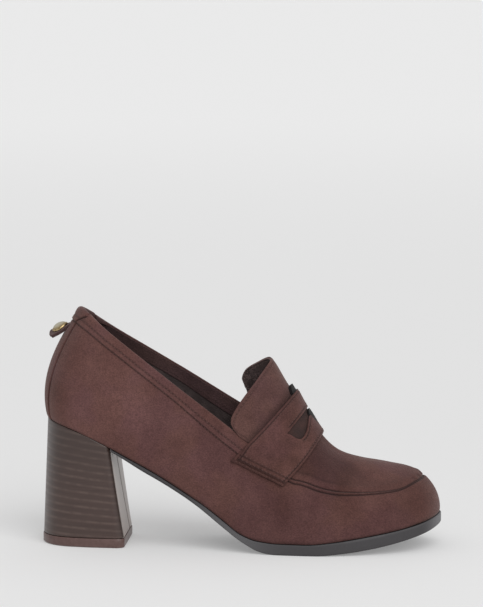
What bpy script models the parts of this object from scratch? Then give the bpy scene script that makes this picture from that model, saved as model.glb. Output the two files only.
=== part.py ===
"""Block heel penny loafer, right shoe, as an assembly of the maker's own pieces.

The frame has +X to the toe, +Y to the inner side of the foot and +Z up, with the floor at z = 0.
Every table and size below is in millimetres. MM turns them into the metres of the scene.
"""
import math

import bmesh
import bpy
import numpy as np

for stale in list(bpy.data.objects):
    bpy.data.objects.remove(stale, do_unlink=True)

MM = 0.001

# Thicknesses and gaps
WALL = 1.8
TONGUE_WALL = 1.6
STRAP_WALL = 2.2
INSOLE_WALL = 2.4
INSOLE_LIFT = 0.1
INSOLE_INSET = WALL + 0.9
LIFT_HEIGHT = 5.6
GAP = 0.35
SOLE_EDGE = 0.8
SOLE_ROUND = 1.1
TONGUE_SINK = -0.1

# Steps in the wall of the upper
BAND_WIDTH = 9.4
BAND_STEP = 0.7
STRIP_STEP = 0.6
SEAM_HEIGHT = 0.9
SEAM_HALF = 1.5

# Heel block, measured at the floor
HEEL_BACK = -120.0
HEEL_BREAST = -69.0
HEEL_HALF_WIDTH = 24.6
HEEL_TOP_BREAST = -77.2
HEEL_CORNER = 3.5
HEEL_ARC = 17.0
HEEL_EDGE = 0.2
HEEL_MIDDLE = (-95.0, 0.0)
HEEL_STOPS = (0.06, 0.16, 0.28, 0.42, 0.58, 0.74, 0.88)
HEEL_CORNER_TURNS = (0.0, 22.5, 45.0, 67.5, 90.0)
HEEL_LEVELS = (0.0, 0.2, 0.4, 0.6, 0.8, 1.0)
LIFT_PROFILE = (
    # height, how far it stands out from the block
    (0.0, -0.7),
    (0.7, 0.35),
    (LIFT_HEIGHT - 0.4, 0.35),
    (LIFT_HEIGHT, 0.0),
)

# Back tab and its stud
TAB_ROOT = (-107.3, 130.0)
TAB_LENGTH = 9.5
TAB_WIDTH = 12.0
TAB_WALL = 2.0
TAB_DROP = 29.0
TAB_ROUND = 0.6
STUD_DIAMETER = 9.6
STUD_HEIGHT = 2.7
STUD_PLACE = 0.44
STUD_GAP = 0.1
STUD_SIDES = 32
STUD_PROFILE = (
    # share of the radius, share of the height
    (0.0, 0.0),
    (0.86, 0.0),
    (1.0, 0.12),
    (1.0, 0.34),
    (0.90, 0.50),
    (0.70, 0.76),
    (0.42, 0.93),
    (0.0, 1.0),
)

# Sections of the last, from the back of the heel round either side to the tip of the toe.
# One row is one section: where the feather edge is, on the outer and on the inner side.
FEET = (
    # x, y_outer, y_inner
    (-117.0, 0.0, 0.0),
    (-109.8, -17.2, 17.2),
    (-92.0, -24.9, 24.7),
    (-68.0, -26.5, 25.0),
    (-44.0, -27.5, 22.6),
    (-24.0, -29.5, 22.2),
    (-6.0, -33.0, 26.0),
    (12.0, -36.8, 32.0),
    (32.0, -39.7, 37.3),
    (53.0, -40.3, 39.4),
    (74.0, -37.0, 37.6),
    (97.0, -29.3, 32.3),
    (113.0, -16.8, 21.8),
    (119.6, 3.0, 3.0),
)

# Topline of the quarters, section by section from the back of the heel to under the strap
TOPLINE = (
    # x, y_outer, z_outer, y_inner, z_inner
    (-96.0, 0.0, 143.0, 0.0, 143.0),
    (-91.0, -12.5, 140.7, 12.5, 138.0),
    (-79.0, -22.0, 131.6, 22.0, 128.1),
    (-61.0, -26.0, 117.9, 25.5, 117.0),
    (-43.0, -28.0, 104.0, 27.0, 106.2),
    (-24.0, -29.5, 89.4, 27.5, 95.2),
    (-6.0, -31.0, 75.3, 28.0, 84.7),
    (12.0, -33.0, 61.5, 30.0, 74.5),
)

# Top of the instep and vamp along the middle of the foot, for the sections from FIRST_RIDGE on
FIRST_RIDGE = 4
RIDGE = (
    # x, y, z
    (3.0, 0.0, 133.0),
    (17.2, 0.0, 114.6),
    (27.0, 0.0, 98.8),
    (37.0, 0.0, 83.5),
    (47.5, 0.5, 67.8),
    (58.0, 1.2, 57.7),
    (72.0, 2.0, 52.7),
    (85.0, 2.6, 50.4),
    (93.5, 3.0, 49.0),
    (97.8, 3.0, 48.2),
)

# How each wall leaves the feather edge and how it arrives at its top
QUARTER_SHAPE = (
    # flare_deg, foot_pull, top_pitch_deg, top_pull
    (15.0, 0.35, 53.0, 0.35),
    (14.0, 0.35, 60.0, 0.33),
    (11.0, 0.34, 70.0, 0.32),
    (9.0, 0.33, 78.0, 0.32),
    (8.0, 0.33, 80.0, 0.32),
    (6.0, 0.33, 80.0, 0.32),
    (5.0, 0.33, 80.0, 0.32),
    (5.0, 0.33, 80.0, 0.32),
)
VAMP_SHAPE = (
    # flare_deg, foot_pull, top_pull, top_turn_deg, seam
    (5.0, 0.38, 0.25, 0.0, 0.36),
    (5.0, 0.38, 0.26, 0.0, 0.36),
    (4.0, 0.38, 0.27, 0.0, 0.36),
    (4.0, 0.37, 0.29, 0.0, 0.36),
    (4.0, 0.36, 0.31, 0.0, 0.43),
    (4.0, 0.36, 0.33, 0.0, 0.425),
    (5.0, 0.38, 0.34, 6.0, 0.42),
    (6.0, 0.40, 0.34, 22.0, 0.44),
    (6.0, 0.42, 0.33, 52.0, 0.55),
    (5.0, 0.42, 0.31, 90.0, 0.62),
)

# Underside of the last and underside of the sole along the foot
LAST_BOTTOM = (
    # x, z
    (-117.5, 76.5),
    (-105.0, 72.8),
    (-92.0, 68.0),
    (-80.0, 62.3),
    (-68.0, 56.0),
    (-50.0, 46.2),
    (-33.0, 35.7),
    (-20.0, 27.4),
    (-8.0, 18.5),
    (2.0, 11.3),
    (12.0, 7.9),
    (24.0, 6.8),
    (40.0, 6.7),
    (57.0, 8.2),
    (73.0, 10.6),
    (89.0, 13.2),
    (105.0, 16.4),
    (121.0, 20.7),
)
SOLE_BOTTOM = (
    # x, z
    (-80.0, 59.0),
    (-60.0, 48.6),
    (-43.0, 39.1),
    (-26.0, 28.2),
    (-10.0, 15.9),
    (0.0, 8.4),
    (6.0, 4.8),
    (12.0, 1.8),
    (18.0, 0.4),
    (23.0, 0.0),
    (46.0, 0.0),
    (65.0, 1.6),
    (81.0, 3.9),
    (97.0, 7.2),
    (110.0, 10.6),
    (122.0, 14.6),
)

# Places on the wall: a section number and how far up it, 0 at the feather edge and 1 at the ridge
THROAT_START = 6.0
THROAT_END = 7.67
STRAP_EDGES = (
    # section at the ridge, half way down and at the lower end, height on the wall at the end
    (6.42, 6.25, 5.68, 0.297),
    (8.05, 7.95, 7.45, 0.358),
)
STRAP_END_BOW = 0.02
SLOT_BACK = 0.41
SLOT_REACH = 0.52
SLOT_DEPTH = (
    # share of the reach from the ridge, depth as a share of the strap's width
    (0.0, 0.075),
    (0.12, 0.077),
    (0.33, 0.10),
    (0.55, 0.17),
    (0.70, 0.24),
    (0.84, 0.28),
    (0.91, 0.23),
    (1.0, 0.0),
)
TONGUE_TOP_OUTER = (
    # section, height on the wall
    (5.45, 0.447),
    (5.17, 0.465),
    (5.08, 0.54),
    (5.12, 0.70),
    (5.13, 0.85),
    (5.11, 1.0),
)
TONGUE_TOP_INNER = (
    (5.50, 0.515),
    (5.16, 0.556),
    (4.80, 0.590),
    (4.755, 0.640),
    (4.90, 0.77),
    (5.11, 1.0),
)

# Where the columns of the upper stand, in sections
STRIP_EDGE = (0.60, 0.68)
BACK_COLUMNS = (0.0, 0.3, 0.60, 0.68, 1.0, 1.35, 1.7, 2.1, 2.5, 3.0, 3.5, 4.0, 4.4, 4.8, 5.2, 5.6, 6.0)
THROAT_TURNS = (15.0, 30.0, 45.0, 58.0, 72.0)
FRONT_COLUMNS = (7.67, 7.9, 8.2, 8.6, 9.0, 9.4, 9.8, 10.2, 10.6, 11.0, 11.3, 11.6, 11.9, 12.2, 12.5, 12.75)
TIP = 13.0
WALL_BLEND = (4.2, 5.2)
SEAM_START = (7.75, 8.0)
SEAM_REST = 0.45
BAND_END = (5.45, 5.75)
BAND_REST = 0.80

# Where the rings of the tongue, the strap, the insole and the outsole stand
TONGUE_ROWS = 11
TONGUE_STEPS = 12
TONGUE_CLEAR = (0.06, 0.022)
SLOT_STOPS = (0.0, 0.2, 0.4, 0.6, 0.72, 0.86, 1.0)
STRAP_END_STEPS = 9
BAND_ROWS = 4
INSOLE_STOPS = (
    *(0.25, 0.6, 1.0, 1.5, 2.0, 2.6, 3.2, 4.0, 4.6, 5.2, 5.8, 6.4, 7.0, 7.6, 8.4, 9.2, 10.0),
    *(10.6, 11.1, 11.6, 12.0, 12.4, 12.7, 12.9),
)
SOLE_STEPS = 26
SOLE_TOE_STOPS = (11.0, 11.3, 11.6, 11.9, 12.2, 12.45, 12.7, 12.88, 12.99)


def ring(outer, inner):
    """Rows of the outer side, then rows of the inner side back again, as one closed run."""
    return np.array(list(outer) + list(inner)[-2:0:-1], dtype=float)


def along(rows, place):
    """Smooth curve through the rows of a closed run."""
    count = len(rows)
    start = math.floor(place)
    f = place - start
    a, b, c, d = (rows[(start + step) % count] for step in (-1, 0, 1, 2))
    return 0.5 * (2 * b + (c - a) * f + (2 * a - 5 * b + 4 * c - d) * f**2 + (3 * b - a - 3 * c + d) * f**3)


def graph(table, x):
    """Smooth curve through rows of (x, value) that never swings past a row."""
    xs, ys = zip(*table)
    last = len(xs) - 1
    k = min(max(int(np.searchsorted(xs, x)) - 1, 0), last - 1)
    steps = [(ys[i + 1] - ys[i]) / (xs[i + 1] - xs[i]) for i in range(last)]

    def slope(i):
        if i == 0 or i == last:
            return steps[0] if i == 0 else steps[-1]
        before, after = steps[i - 1], steps[i]
        return 0.0 if before * after <= 0 else 2 * before * after / (before + after)

    width = xs[k + 1] - xs[k]
    f = (x - xs[k]) / width
    rise = f * f * (3 - 2 * f)
    bend = width * (slope(k) * f * (1 - f) ** 2 - slope(k + 1) * f * f * (1 - f))
    return ys[k] * (1 - rise) + ys[k + 1] * rise + bend


def ease(low, high, value):
    f = min(max((value - low) / (high - low), 0.0), 1.0)
    return f * f * (3 - 2 * f)


def bezier(points, f):
    a, b, c, d = points
    g = 1 - f
    return a * g**3 + b * 3 * g * g * f + c * 3 * g * f * f + d * f**3


LAST_SECTION = len(FEET) - 1
TURN = 2 * LAST_SECTION
FOOT_RING = ring([(x, a) for x, a, b in FEET], [(x, b) for x, a, b in FEET])
SPARE_TOPS = [TOPLINE[-1]] * (len(FEET) - len(TOPLINE))
SPARE_SHAPES = [QUARTER_SHAPE[-1]] * (len(FEET) - len(TOPLINE))
ALL_TOPS = list(TOPLINE) + SPARE_TOPS
TOP_RING = ring([(r[0], r[1], r[2]) for r in ALL_TOPS], [(r[0], r[3], r[4]) for r in ALL_TOPS])
ALL_QUARTERS = list(QUARTER_SHAPE) + SPARE_SHAPES
QUARTER_RING = ring(ALL_QUARTERS, ALL_QUARTERS)
ALL_RIDGE = [RIDGE[0]] * FIRST_RIDGE + list(RIDGE)
RIDGE_RING = ring(ALL_RIDGE, ALL_RIDGE)
ALL_VAMPS = [VAMP_SHAPE[0]] * FIRST_RIDGE + list(VAMP_SHAPE)
VAMP_RING = ring(ALL_VAMPS, ALL_VAMPS)
UP = np.array((0.0, 0.0, 1.0))


def section(place):
    """Section number of a place on the ring, and the way inwards along Y there."""
    place = place % TURN
    return (place, 1.0) if place <= LAST_SECTION else (TURN - place, -1.0)


def last_bottom(x):
    return graph(LAST_BOTTOM, x)


def outward(place):
    tangent = along(FOOT_RING, place + 0.02) - along(FOOT_RING, place - 0.02)
    tangent /= np.linalg.norm(tangent)
    return np.array((tangent[1], -tangent[0], 0.0))


def foot(place):
    x, y = along(FOOT_RING, place)
    return np.array((x, y, last_bottom(x)))


def outline(place, offset):
    """Plan of the feather edge, moved outwards by offset."""
    return along(FOOT_RING, place) + outward(place)[:2] * offset


def quarter(place, f):
    """Wall of the back of the shoe, from the feather edge to the topline."""
    low = foot(place)
    top = along(TOP_RING, place)
    flare, foot_pull, pitch, top_pull = along(QUARTER_RING, place)
    out = outward(place)
    reach = np.linalg.norm(top - low)
    rise = out * math.sin(math.radians(flare)) + UP * math.cos(math.radians(flare))
    arrive = -out * math.cos(math.radians(pitch)) + UP * math.sin(math.radians(pitch))
    return bezier((low, low + rise * reach * foot_pull, top - arrive * reach * top_pull, top), f)


def vamp(place, f):
    """Wall of the front of the last, from the feather edge up to the ridge over the foot."""
    _, inward = section(place)
    low = foot(place)
    top = along(RIDGE_RING, place)
    flare, foot_pull, top_pull, turn, _ = along(VAMP_RING, place)
    reach = np.linalg.norm(top - low)
    rise = outward(place) * math.sin(math.radians(flare)) + UP * math.cos(math.radians(flare))
    back = math.sin(math.radians(turn))
    arrive = np.array((-back, inward * math.cos(math.radians(turn)), 0.15 * back))
    return bezier((low, low + rise * reach * foot_pull, top - arrive * reach * top_pull, top), f)


def topline_share(place):
    """How far up the vamp's wall the topline crosses it."""
    _, inward = section(place)
    column = 2 if inward > 0 else 4
    line = [(row[0], row[column]) for row in TOPLINE]
    low, high = 0.1, 0.9
    for _ in range(40):
        mid = (low + high) / 2
        x, _, z = vamp(place, mid)
        low, high = (mid, high) if z < graph(line, x) else (low, mid)
    return (low + high) / 2


def top_share(place):
    """How far up the vamp's wall the upper goes."""
    number, inward = section(place)
    if number >= THROAT_END:
        return 1.0
    if number <= THROAT_START:
        return topline_share(place)
    start = topline_share(THROAT_START if inward > 0 else TURN - THROAT_START)
    way = (number - THROAT_START) / (THROAT_END - THROAT_START)
    return start + (1 - start) * (1 - math.sqrt(1 - way * way))


def wall(place, f):
    """The upper's own surface, with f from 0 at the feather edge to 1 at its top edge."""
    number, _ = section(place)
    mix = ease(*WALL_BLEND, number)
    point = np.zeros(3)
    if mix < 1:
        point = point + quarter(place, f) * (1 - mix)
    if mix > 0:
        point = point + vamp(place, f * top_share(place)) * mix
    return point


def lifted(surface, place, f, offset):
    """Point of a surface, moved along the outward normal by offset."""
    f_mid = min(max(f, 0.01), 0.985)
    du = surface(place + 0.02, f_mid) - surface(place - 0.02, f_mid)
    dv = surface(place, f_mid + 0.01) - surface(place, f_mid - 0.01)
    normal = np.cross(du, dv)
    return surface(place, f) + normal / np.linalg.norm(normal) * offset


def wall_lengths(place):
    """Lengths up one column of the upper, at even steps of f."""
    shares = np.linspace(0, 1, 41)
    points = np.array([wall(place, f) for f in shares])
    runs = np.linalg.norm(np.diff(points, axis=0), axis=1)
    return shares, np.concatenate(([0.0], np.cumsum(runs)))


def column(place):
    """One column of the upper: its points from the feather edge to the top edge, steps included."""
    number, _ = section(place)
    shares, lengths = wall_lengths(place)
    total = lengths[-1]
    seam_on = ease(*SEAM_START, number)
    band_on = 1 - ease(*BAND_END, number)
    seam = SEAM_REST + (along(VAMP_RING, place)[4] - SEAM_REST) * ease(6.6, THROAT_END, number)
    band = float(np.interp(total - BAND_WIDTH, lengths, shares))
    band += (BAND_REST - band) * ease(6.0, 7.4, number)
    half = SEAM_HALF / total
    levels = [(seam - half) * part for part in (0.0, 0.25, 0.5, 0.75, 1.0)]
    levels += [seam, seam + half]
    edge = 0.35 / total
    span = band - edge - (seam + half)
    levels += [seam + half + span * part for part in (0.25, 0.5, 0.75, 1.0)]
    levels += [band + edge, (band + edge + 1) / 2, 1.0]
    strip = 1.0 if number <= STRIP_EDGE[0] + 1e-6 else 0.0
    points = []
    for index, f in enumerate(levels):
        offset = strip * STRIP_STEP
        if index == 5:
            offset += SEAM_HEIGHT * seam_on
        if index >= 11:
            offset += BAND_STEP * band_on
        points.append(lifted(wall, place, f, offset) if offset else wall(place, f))
    return points


collection = bpy.data.collections.new("block_heel_penny_loafer")
bpy.context.scene.collection.children.link(collection)


def material(name, color, roughness, metallic=0.0):
    made = bpy.data.materials.new(name)
    made.use_nodes = True
    shader = made.node_tree.nodes["Principled BSDF"]
    shader.inputs["Base Color"].default_value = (*color, 1.0)
    shader.inputs["Roughness"].default_value = roughness
    shader.inputs["Metallic"].default_value = metallic
    return made


def piece(name, points, faces, made):
    """A named object from points in millimetres, with doubled points merged and faces turned out."""
    mesh = bpy.data.meshes.new(name)
    mesh.from_pydata([tuple(np.array(p) * MM) for p in points], [], faces)
    work = bmesh.new()
    work.from_mesh(mesh)
    bmesh.ops.remove_doubles(work, verts=work.verts, dist=0.00002)
    work.to_mesh(mesh)
    work.free()
    mesh.materials.append(made)
    thing = bpy.data.objects.new(name, mesh)
    collection.objects.link(thing)
    return thing


def shell(thing, thickness, side):
    """Wall of a real thickness, grown to the inside (-1) or the outside (1) of the surface."""
    skin = thing.modifiers.new("wall", "SOLIDIFY")
    skin.thickness = thickness * MM
    skin.offset = side
    skin.use_even_offset = False
    skin.use_quality_normals = True


def grid_faces(rows, columns, closed=False):
    """Quads of a grid whose points run row by row inside each column."""
    quads = []
    for c in range(columns if closed else columns - 1):
        after = (c + 1) % columns
        for r in range(rows - 1):
            quads.append((c * rows + r, after * rows + r, after * rows + r + 1, c * rows + r + 1))
    return quads


def plates(rings):
    """Closed solid from equal rings of (outer, inner) pairs, lowest ring first.

    A ring holds pairs from one end of the foot to the other, so the ends and the flats are strips.
    """
    points = []
    count = len(rings[0])
    for pairs in rings:
        for outer, inner in pairs:
            points += [outer, inner]
    faces = []

    def at(level, index, side):
        return level * count * 2 + index * 2 + side

    for level in range(len(rings) - 1):
        for i in range(count - 1):
            faces.append((at(level, i, 0), at(level, i + 1, 0), at(level + 1, i + 1, 0), at(level + 1, i, 0)))
            faces.append((at(level, i + 1, 1), at(level, i, 1), at(level + 1, i, 1), at(level + 1, i + 1, 1)))
        for i in (0, count - 1):
            faces.append((at(level, i, 0), at(level, i, 1), at(level + 1, i, 1), at(level + 1, i, 0)))
    for level in (0, len(rings) - 1):
        for i in range(count - 1):
            faces.append((at(level, i, 0), at(level, i, 1), at(level, i + 1, 1), at(level, i + 1, 0)))
    return points, faces


def tidy_solid(thing):
    """Merge doubled points, drop faces without area and turn all faces out."""
    work = bmesh.new()
    work.from_mesh(thing.data)
    bmesh.ops.remove_doubles(work, verts=work.verts, dist=0.00002)
    bmesh.ops.dissolve_degenerate(work, edges=work.edges, dist=0.00001)
    bmesh.ops.recalc_face_normals(work, faces=work.faces)
    work.to_mesh(thing.data)
    work.free()


def section_at(x):
    """Section whose feather edge stands at x, on the straight run of the foot."""
    low, high = 1.0, 12.0
    for _ in range(50):
        mid = (low + high) / 2
        low, high = (mid, high) if along(FOOT_RING, mid)[0] < x else (low, mid)
    return low


suede = material("suede", (0.10, 0.055, 0.05), 0.95)
suede_tongue = material("suede_tongue", (0.10, 0.055, 0.05), 0.95)
suede_strap = material("suede_strap", (0.11, 0.06, 0.055), 0.95)
suede_tab = material("suede_tab", (0.10, 0.055, 0.05), 0.95)
lining = material("lining", (0.03, 0.028, 0.028), 0.8)
rubber = material("rubber", (0.07, 0.07, 0.075), 0.6)
stack = material("stacked_heel", (0.08, 0.062, 0.05), 0.45)
lift = material("top_lift", (0.13, 0.085, 0.08), 0.5)
brass = material("antique_brass", (0.45, 0.33, 0.2), 0.3, 1.0)

# Upper: one hollow wall from the feather edge to the topline, closed over the vamp
throat_run = THROAT_END - THROAT_START
throat_columns = [THROAT_START + throat_run * math.sin(math.radians(a)) for a in THROAT_TURNS]
half_columns = list(BACK_COLUMNS) + throat_columns + list(FRONT_COLUMNS)
places = half_columns + [TIP] + [TURN - s for s in reversed(half_columns[1:])]
columns = [column(place) for place in places]
rows = len(columns[0])
upper = piece("upper", [p for line in columns for p in line], grid_faces(rows, len(columns), True), suede)
shell(upper, WALL, -1.0)


def tongue_edge(turn, inward):
    """Lower edge of the tongue, just clear of the throat of the upper."""
    start = topline_share(THROAT_START if inward > 0 else TURN - THROAT_START) + TONGUE_CLEAR[1]
    number = THROAT_START - TONGUE_CLEAR[0] + throat_run * math.sin(turn)
    return np.array((number, start + (1 - start) * (1 - math.cos(turn))))


# Tongue: the last's own surface between the throat and the tongue's top edge
tongue_points = []
tongue_columns = 0
for inward, tops in ((1.0, TONGUE_TOP_OUTER), (-1.0, TONGUE_TOP_INNER)):
    steps = range(TONGUE_STEPS + 1) if inward > 0 else range(TONGUE_STEPS - 1, -1, -1)
    for step in steps:
        share = step / TONGUE_STEPS
        low = tongue_edge(share * math.pi / 2, inward)
        rank = share * (len(tops) - 1)
        number = graph([(i, row[0]) for i, row in enumerate(tops)], rank)
        height = graph([(i, row[1]) for i, row in enumerate(tops)], rank)
        high = np.array((number, height))
        tongue_columns += 1
        for r in range(TONGUE_ROWS):
            at = low + (high - low) * r / (TONGUE_ROWS - 1)
            place = at[0] if inward > 0 else TURN - at[0]
            tongue_points.append(lifted(vamp, place, min(at[1], 1.0), TONGUE_SINK))
tongue_faces = grid_faces(TONGUE_ROWS, tongue_columns)
tongue = piece("tongue", tongue_points, tongue_faces, suede_tongue)
shell(tongue, TONGUE_WALL, -1.0)

# Saddle strap: an overlay across the instep with the keeper's slot left open in it
slot_stops = [SLOT_REACH * part for part in SLOT_STOPS]
end_run = (1 - SLOT_REACH) / STRAP_END_STEPS
strap_stops = slot_stops + [SLOT_REACH + end_run * (i + 1) for i in range(STRAP_END_STEPS)]


def strap_spot(across, reach):
    """Section and height on the wall of a place on the strap."""
    edges = []
    for ridge, middle, end, height in STRAP_EDGES:
        square = 8 * (middle - ridge) - (end - ridge)
        number = ridge + square * reach**2 + (end - ridge - square) * reach**3
        edges.append(np.array((number, 1 - reach * (1 - height))))
    spot = edges[0] + (edges[1] - edges[0]) * across
    spot[1] += 4 * STRAP_END_BOW * across * (1 - across) * reach
    return spot


def strap_point(across, reach, inward):
    """Point of the strap's under face: across from its back to its front edge, reach down a side."""
    number, height = strap_spot(across, reach)
    place = number if inward > 0 else TURN - number
    return lifted(vamp, place, height, GAP)


strap_points = []
strap_faces = []
line = [(-1.0, stop) for stop in reversed(strap_stops)] + [(1.0, stop) for stop in strap_stops[1:]]
for side, stop in line:
    depth = graph(SLOT_DEPTH, stop / SLOT_REACH) if stop < SLOT_REACH else 0.0
    low = [SLOT_BACK * r / (BAND_ROWS - 1) for r in range(BAND_ROWS)]
    start = SLOT_BACK + depth
    high = [start + (1 - start) * r / (BAND_ROWS - 1) for r in range(BAND_ROWS)]
    strap_points += [strap_point(across, stop, -side) for across in low + high]
width = 2 * BAND_ROWS
for c in range(len(line) - 1):
    for r in [*range(BAND_ROWS - 1), *range(BAND_ROWS, width - 1)]:
        strap_faces.append((c * width + r, c * width + r + 1, (c + 1) * width + r + 1, (c + 1) * width + r))
strap = piece("saddle_strap", strap_points, strap_faces, suede_strap)
shell(strap, STRAP_WALL, 1.0)

# Insole: follows the last's underside inside the wall
insole_rings = []
for height in (INSOLE_LIFT, INSOLE_WALL):
    pairs = []
    for number in INSOLE_STOPS:
        both = []
        for place in (number, TURN - number):
            x, y = outline(place, -INSOLE_INSET)
            both.append((x, y, last_bottom(x) + height))
        pairs.append(both)
    insole_rings.append(pairs)
insole = piece("insole", *plates(insole_rings), lining)
tidy_solid(insole)

# Outsole: from the heel breast to the toe, thin in the waist and thick under the ball
sole_start = section_at(HEEL_TOP_BREAST + 1.0)
sole_run = (SOLE_TOE_STOPS[0] - sole_start) / SOLE_STEPS
sole_stops = [sole_start + sole_run * i for i in range(SOLE_STEPS)] + list(SOLE_TOE_STOPS)
sole_rings = []
for level in ("under", "edge", "side", "top"):
    pairs = []
    for number in sole_stops:
        both = []
        for place in (number, TURN - number):
            inset = SOLE_ROUND if level == "under" else 0.0
            x, y = outline(place, SOLE_EDGE - inset)
            low = graph(SOLE_BOTTOM, x)
            high = last_bottom(x) - GAP
            z = {"under": low, "edge": low + SOLE_ROUND, "side": (low + high) / 2, "top": high}[level]
            both.append((x, y, z))
        pairs.append(both)
    sole_rings.append(pairs)
outsole = piece("outsole", *plates(sole_rings), rubber)
tidy_solid(outsole)


def heel_ring(level, grow=0.0):
    """Pairs of the heel's plan at a level, 0 at the floor and 1 under the heel seat."""
    seat_breast = section_at(HEEL_TOP_BREAST)
    stops = [seat_breast * part for part in HEEL_STOPS]
    top_length = HEEL_TOP_BREAST - FEET[0][0]
    stretch = (HEEL_BREAST - HEEL_BACK - HEEL_ARC) / (top_length - HEEL_ARC)
    pairs = []
    plan = [(*outline(s, HEEL_EDGE), outline(TURN - s, HEEL_EDGE)[1]) for s in stops]
    side = outline(seat_breast, HEEL_EDGE)[1], outline(TURN - seat_breast, HEEL_EDGE)[1]
    for turn in HEEL_CORNER_TURNS:
        swing = math.radians(turn)
        x = HEEL_TOP_BREAST - HEEL_CORNER * (1 - math.sin(swing))
        inset = HEEL_CORNER * (1 - math.cos(swing))
        plan.append((x, side[0] + inset, side[1] - inset))
    half = max(abs(side[0]), abs(side[1]))
    for x, outer, inner in plan:
        run = x - FEET[0][0]
        floor_x = HEEL_BACK + min(run, HEEL_ARC) + max(run - HEEL_ARC, 0.0) * stretch
        factor = HEEL_HALF_WIDTH / half
        both = []
        for y in (outer, inner):
            here = np.array((x, y)) * level + np.array((floor_x, y * factor)) * (1 - level)
            away = here - np.array(HEEL_MIDDLE)
            here = here + away / np.linalg.norm(away) * grow
            both.append((here[0], here[1]))
        pairs.append(both)
    return pairs


# Heel block: flares from the heel seat down to the top lift
block_rings = []
for level in HEEL_LEVELS:
    pairs = []
    for both in heel_ring(level):
        low = LIFT_HEIGHT + GAP
        pairs.append([(x, y, low + (last_bottom(x) - GAP - low) * level) for x, y in both])
    block_rings.append(pairs)
heel_block = piece("heel_block", *plates(block_rings), stack)
tidy_solid(heel_block)

# Top lift: the wearing piece under the heel block
lift_rings = []
for height, grow in LIFT_PROFILE:
    lift_rings.append([[(x, y, height) for x, y in both] for both in heel_ring(0.0, grow)])
heel_lift = piece("heel_top_lift", *plates(lift_rings), lift)
tidy_solid(heel_lift)

# Back tab: a short folded strip under the collar band, with a domed stud on it
drop = math.radians(TAB_DROP)
away = np.array((-math.cos(drop), 0.0, -math.sin(drop)))
above = np.array((-math.sin(drop), 0.0, math.cos(drop)))
root = np.array((TAB_ROOT[0], 0.0, TAB_ROOT[1]))
bpy.ops.mesh.primitive_cube_add(size=1.0)
back_tab = bpy.context.object
back_tab.name = "back_tab"
for group in list(back_tab.users_collection):
    group.objects.unlink(back_tab)
collection.objects.link(back_tab)
back_tab.data.materials.append(suede_tab)
for vertex in back_tab.data.vertices:
    x, y, z = vertex.co
    spot = root + away * TAB_LENGTH * (x + 0.5) + above * TAB_WALL * z
    spot[1] = TAB_WIDTH * y
    vertex.co = spot * MM
round_off = back_tab.modifiers.new("edges", "BEVEL")
round_off.width = TAB_ROUND * MM
round_off.segments = 2
round_off.limit_method = "ANGLE"
tidy_solid(back_tab)

seat = root + away * TAB_LENGTH * STUD_PLACE + above * (TAB_WALL / 2 + STUD_GAP)
stud_points = []
for share, height in STUD_PROFILE:
    for k in range(STUD_SIDES):
        spin = 2 * math.pi * k / STUD_SIDES
        radius = STUD_DIAMETER / 2 * share
        flat = away * math.cos(spin) * radius + np.array((0.0, math.sin(spin) * radius, 0.0))
        stud_points.append(seat + flat + above * STUD_HEIGHT * height)
stud_faces = []
for level in range(len(STUD_PROFILE) - 1):
    for k in range(STUD_SIDES):
        n = (k + 1) % STUD_SIDES
        low, high = level * STUD_SIDES, (level + 1) * STUD_SIDES
        stud_faces.append((low + k, low + n, high + n, high + k))
back_stud = piece("back_stud", stud_points, stud_faces, brass)
tidy_solid(back_stud)
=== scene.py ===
import math

import bpy
import numpy as np
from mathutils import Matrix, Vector


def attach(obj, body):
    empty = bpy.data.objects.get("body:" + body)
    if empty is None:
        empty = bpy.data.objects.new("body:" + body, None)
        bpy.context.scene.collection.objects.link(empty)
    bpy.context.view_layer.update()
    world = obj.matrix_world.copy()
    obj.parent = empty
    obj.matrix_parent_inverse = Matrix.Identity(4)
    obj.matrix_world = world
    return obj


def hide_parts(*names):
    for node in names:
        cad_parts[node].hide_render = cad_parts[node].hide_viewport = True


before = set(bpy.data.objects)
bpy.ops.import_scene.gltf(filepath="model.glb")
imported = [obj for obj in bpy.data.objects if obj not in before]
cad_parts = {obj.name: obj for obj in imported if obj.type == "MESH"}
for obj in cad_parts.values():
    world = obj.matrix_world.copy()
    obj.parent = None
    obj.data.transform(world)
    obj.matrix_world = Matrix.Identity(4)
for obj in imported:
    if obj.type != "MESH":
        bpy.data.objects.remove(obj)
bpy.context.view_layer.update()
mm = 0.001
print("frame loaded:", sorted(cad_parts))

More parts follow.
